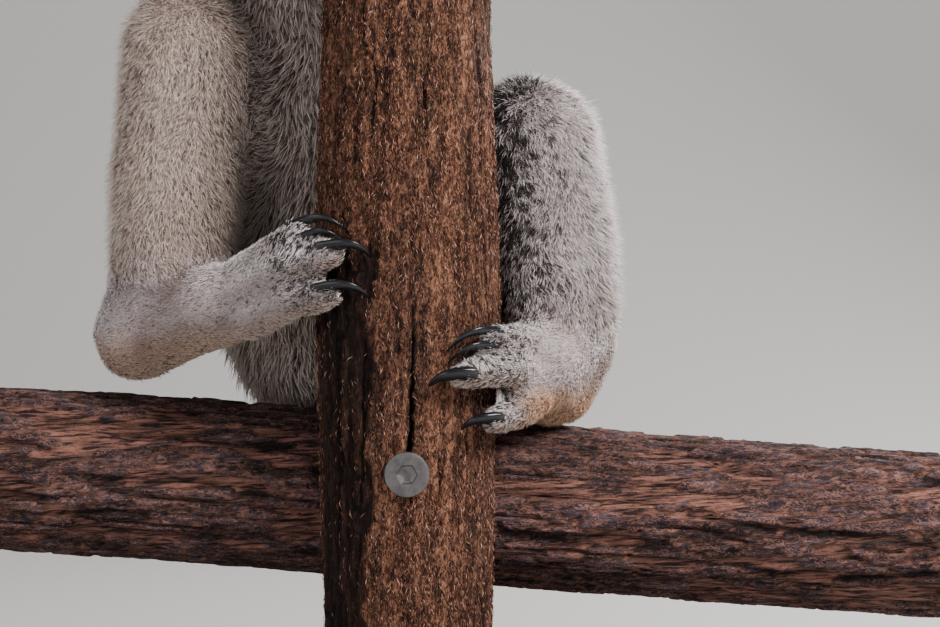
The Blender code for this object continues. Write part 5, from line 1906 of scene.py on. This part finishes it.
def make_coat_group():
    """Colour of skin and hair from the markings' colour with its painted shade, the share of
    dark hairs with its painted shade, a random number for each hair, and the place along it."""
    group, given, out = new_group(
        "coat_colour",
        (("Marking", COLOUR, (0.5, 0.45, 0.4, 1)), ("Fleck", NUMBER, 0.1),
         ("Shade", NUMBER, 0.5), ("Along", NUMBER, 0.5)),
        (("Colour", COLOUR),))
    get = given.outputs
    dark = maths(group, "LESS_THAN", get["Shade"], get["Fleck"])
    light = maths(group, "MULTIPLY_ADD", get["Shade"], 0.42, 0.80)
    tone = brightened(group, get["Marking"], light)
    dark_hair = mix_colours(group, remap(group, get["Fleck"], 0.24, 0.42), BROWN, DARK)
    hair = mix_colours(group, dark, tone, dark_hair)
    root = mix_colours(group, 1.0, hair, ROOT_TINT, "MULTIPLY")
    along = remap(group, get["Along"], 0.0, 0.55)
    plug(group, out, Colour=mix_colours(group, along, root, hair))
    return group


COAT_GROUP = make_coat_group()


def coat_colour(tree, shade, along):
    """The coat's colour in a material."""
    return use_group(tree, COAT_GROUP, Marking=attribute(tree, "marking", "Color"),
                     Fleck=attribute(tree, "fleck"), Shade=shade, Along=along).outputs["Colour"]


def make_coat_material():
    """Soft hair: the shared colour, dull, with a little sheen."""
    material, tree, shader = new_material("koala_coat")
    shade = attribute(tree, "shade")
    plug(tree, shader, Base_Color=coat_colour(tree, shade, attribute(tree, "along")),
         Roughness=remap(tree, shade, 0, 1, 0.50, 0.72), Specular_IOR_Level=0.30,
         Sheen_Weight=0.15)
    return material


def make_skin_material():
    """Underfur seen between the hairs: the same colours in a fine woolly pattern."""
    material, tree, shader = new_material("koala_skin")
    wool = noise_texture(tree, object_place(tree), 1500.0, 3.0, Roughness=0.6)
    plug(tree, shader, Base_Color=coat_colour(tree, remap(tree, wool, 0.30, 0.70), 0.28),
         Roughness=remap(tree, wool, 0.3, 0.7, 0.95, 0.80), Normal=bump(tree, wool, 0.8, 0.0006),
         Specular_IOR_Level=0.15)
    return material


COAT_MATERIAL, SKIN_MATERIAL = make_coat_material(), make_skin_material()
print("materials:", COAT_MATERIAL.name, SKIN_MATERIAL.name)

# %% [markdown]
# ## The coat
#
# Each tuft is a small closed blade: a few hairs that stick together, pointed, bent a little
# back to the skin. Blender's own hair would be easier to comb, but hair curves are lost when
# a model leaves Blender. So Geometry Nodes plant solid blades: they scatter points on the
# skin by its density, turn each blade along the comb and up by the lift, scale it, and
# realize it all as plain mesh. Long parts get a blade of ten triangles, and the short hair
# of paws and face one of six, so that many more fit.
#
# Every tuft also gets a small patch of its own on a map, at the place where its root sits
# on the unwrapped skin, so that each tuft has one spot of its own on that map.

# %% The two blades
TUFT_PATCH = 0.003          # width of a tuft's patch on the map
FINE_CLUMPS = 2.1           # how many times finer the small clumps are
STRAY_LIFT = 0.36           # how much further (radians) a stray hair stands off
BLADE_BEND = 1.25           # how far the middle stands out, in widths


def blade(name, points, faces, along):
    """A closed blade as an object, with its place along the hair and its own small map."""
    mesh = bpy.data.meshes.new(name)
    mesh.from_pydata(points, [], faces)
    mesh.shade_smooth()
    set_values(mesh, "along", along)
    set_values(mesh, "leaf", [(p[1] + 0.5, a, 0) for p, a in zip(points, along)], "FLOAT_VECTOR")
    return add_to_scene(name, mesh)


LONG_BLADE = blade(
    "long_blade",
    [(0, -0.5, -0.04), (0, 0.5, -0.04), (0.45, 0, -0.04),
     (BLADE_BEND, -0.42, 0.5), (BLADE_BEND, 0.42, 0.5), (BLADE_BEND + 0.4, 0, 0.5), (0.2, 0, 1)],
    [(0, 2, 1), (0, 1, 4), (0, 4, 3), (1, 2, 5), (1, 5, 4), (2, 0, 3), (2, 3, 5),
     (3, 4, 6), (4, 5, 6), (5, 3, 6)], [0, 0, 0, 0.5, 0.5, 0.5, 1])
SHORT_BLADE = blade(
    "short_blade",
    [(0, -0.5, -0.04), (0, 0.5, -0.04), (0.4, 0, -0.04), (BLADE_BEND, 0, 0.5), (0.2, 0, 1)],
    [(0, 2, 1), (0, 3, 2), (0, 4, 3), (2, 3, 1), (3, 4, 1), (1, 4, 0)], [0, 0, 0, 0.5, 1])
print("blades:", len(LONG_BLADE.data.polygons), "and", len(SHORT_BLADE.data.polygons), "triangles")

# %% The coat's node tree
def clumped_shade(tree, seed, clumps):
    """A number from 0 to 1 for each tuft, alike for tufts that stand together: hairs of one
    clump are dark or pale together."""
    spot = vector_maths(tree, "MULTIPLY", add_node(tree, "GeometryNodeInputPosition").outputs[0],
                        (1.0, 1.0, 0.6))
    scales = clumps, times(tree, clumps, FINE_CLUMPS)
    coarse, fine = (remap(tree, noise_texture(tree, spot, scale, 0.0), 0.28, 0.72)
                    for scale in scales)
    clump = maths(tree, "MULTIPLY_ADD", coarse, 0.50, times(tree, fine, 0.30))
    return maths(tree, "MULTIPLY_ADD", random_number(tree, 0.0, 1.0, seed, 13), 0.20, clump)


def coat_tree():
    """Plants blades on the skin; inputs: Blade, Material, Seed, Jitter, Stray Share,
    Clumps (in a metre)."""
    tree, given, out = scatter_tree("coat", (
        ("Blade", "Object"), ("Material", "Material"), ("Seed", "Int"), ("Jitter", "Float"),
        ("Stray Share", "Float"), ("Clumps", "Float")))
    seed = given["Seed"]
    points, normal = scatter_points(tree, given, "hair_density")
    stray = maths(tree, "LESS_THAN", random_number(tree, 0.0, 1.0, seed, 3), given["Stray Share"])
    swing = times(tree, random_number(tree, -1.0, 1.0, seed, 5), given["Jitter"])
    combed = turned_about(tree, named(tree, "comb", "FLOAT_VECTOR"), normal, swing)
    lift = times(tree, named(tree, "lift", "FLOAT"), random_number(tree, 0.60, 1.45, seed, 7))
    lift = maths(tree, "MULTIPLY_ADD", stray, STRAY_LIFT, lift)
    direction = vector_sum(tree, combed, normal, maths(tree, "COSINE", lift),
                           maths(tree, "SINE", lift))
    width = times(tree, named(tree, "hair_width", "FLOAT"),
                  random_number(tree, 0.70, 1.25, seed, 9))
    width = times(tree, width, maths(tree, "MULTIPLY_ADD", stray, -0.45, 1.0))
    length = times(tree, named(tree, "hair_length", "FLOAT"),
                   random_number(tree, 0.72, 1.16, seed, 11))
    shade = clumped_shade(tree, seed, given["Clumps"])
    solid = plant(tree, points, given["Blade"], shade, direction, normal, width, length)
    patch = vector_maths(tree, "ADD", named(tree, "leaf", "FLOAT_VECTOR"), (-0.5, -0.5, 0))
    place = vector_sum(tree, named(tree, "root_place", "FLOAT_VECTOR"), patch, 1.0, TUFT_PATCH)
    mapped = add_node(tree, "GeometryNodeStoreNamedAttribute",
                      {"data_type": "FLOAT2", "domain": "CORNER"}, Geometry=solid,
                      Name="OFBake", Value=place).outputs[0]
    return end_tree(tree, out, mapped, given["Material"])


COAT_TREE = coat_tree()
print("coat tree:", len(COAT_TREE.nodes), "nodes")

# %% Cut the skin into regions
BACKWARD = SKIN_NORMALS[:, 1] > 0
TORSO = np.isin(KIND, ("trunk", "neck"))
# name of the region: which vertices, how many tufts, blade, jitter (radians), strays, and
# clumps of hair in a metre
REGIONS = {
    "back": (TORSO & BACKWARD, 11500, LONG_BLADE, 0.42, 0.03, 220.0),
    "front": (TORSO & ~BACKWARD, 9000, LONG_BLADE, 0.42, 0.03, 220.0),
    "head": (np.isin(KIND, ("head", "eye", "nose")), 22500, SHORT_BLADE, 0.30, 0.02, 480.0),
    "ears": (KIND == "ear", 6500, LONG_BLADE, 0.45, 0.05, 300.0),
}
for side, shin_tufts in (("left", 19000), ("right", 15500)):
    for part, kinds, *planting in (
            ("arm", ("upper_arm", "forearm"), 6500, LONG_BLADE, 0.40, 0.03, 260.0),
            ("thigh", ("thigh",), 6500, LONG_BLADE, 0.40, 0.03, 260.0),
            ("shin", ("shin",), shin_tufts, LONG_BLADE, 0.62, 0.09, 310.0),
            ("foot", ("foot",), 23000, SHORT_BLADE, 0.28, 0.03, 620.0),
            ("hand", ("hand",), 8000, SHORT_BLADE, 0.28, 0.03, 620.0)):
        REGIONS[f"{part}_{side}"] = ((SIDE == side) & np.isin(KIND, kinds), *planting)
print("regions:", *REGIONS)

# %% Unwrap a region and grow its coat
COAT_NAMES = ("marking", "fleck", "shade", "along", "OFBake")


def region_mesh(name, chosen):
    """The part of the skin whose faces start on a chosen vertex, unwrapped on its own."""
    bm = bmesh.new()
    bm.from_mesh(skin_mesh)
    others = [f for f in bm.faces if not chosen[f.verts[0].index]]
    bmesh.ops.delete(bm, geom=others, context="FACES")
    mesh = bpy.data.meshes.new(f"under_{name}")
    bm.to_mesh(mesh)
    bm.free()
    holder = add_to_scene(f"under_{name}", mesh)
    mesh.uv_layers.new(name="root_map")
    bpy.context.view_layer.objects.active = holder
    holder.select_set(True)
    bpy.ops.object.mode_set(mode="EDIT")
    bpy.ops.mesh.select_all(action="SELECT")
    bpy.ops.uv.smart_project(angle_limit=math.radians(66), island_margin=0.004)
    bpy.ops.object.mode_set(mode="OBJECT")
    holder.select_set(False)
    return holder


def grow(name, chosen, wanted, leaf, jitter, stray, clumps, seed):
    """One region's coat as a plain mesh piece."""
    under = region_mesh(name, chosen)
    set_density(under.data, "hair_density", wanted)
    unwrapped = read_rows(under.data.uv_layers["root_map"].data, "uv", 2, np.float32)
    flat = np.c_[unwrapped, np.zeros(len(unwrapped))]
    set_values(under.data, "root_place", flat, "FLOAT_VECTOR", "CORNER")
    mesh = grown_mesh(under, COAT_TREE, {
        "Blade": leaf, "Material": COAT_MATERIAL, "Seed": seed, "Jitter": jitter,
        "Stray Share": stray, "Clumps": clumps})
    bpy.data.objects.remove(under)
    mesh.name = f"coat_{name}"
    for helper in [a.name for a in mesh.attributes
                   if a.name not in COAT_NAMES and not a.is_internal and not a.is_required]:
        mesh.attributes.remove(mesh.attributes[helper])
    return finish_object(f"coat_{name}", mesh, None, "fur")


coat_total = 0
for number, (region, settings) in enumerate(REGIONS.items()):
    piece = grow(region, *settings, 100 + 20 * number)
    coat_total += len(piece.data.polygons)
    print("coat_" + region, len(piece.data.polygons), "triangles")
for leaf in (LONG_BLADE, SHORT_BLADE):
    bpy.data.objects.remove(leaf)
finish_object("skin", skin_mesh, SKIN_MATERIAL, "fur", *FLESH)
print("coat in all:", coat_total, "triangles")

# %% The end
bpy.context.view_layer.update()
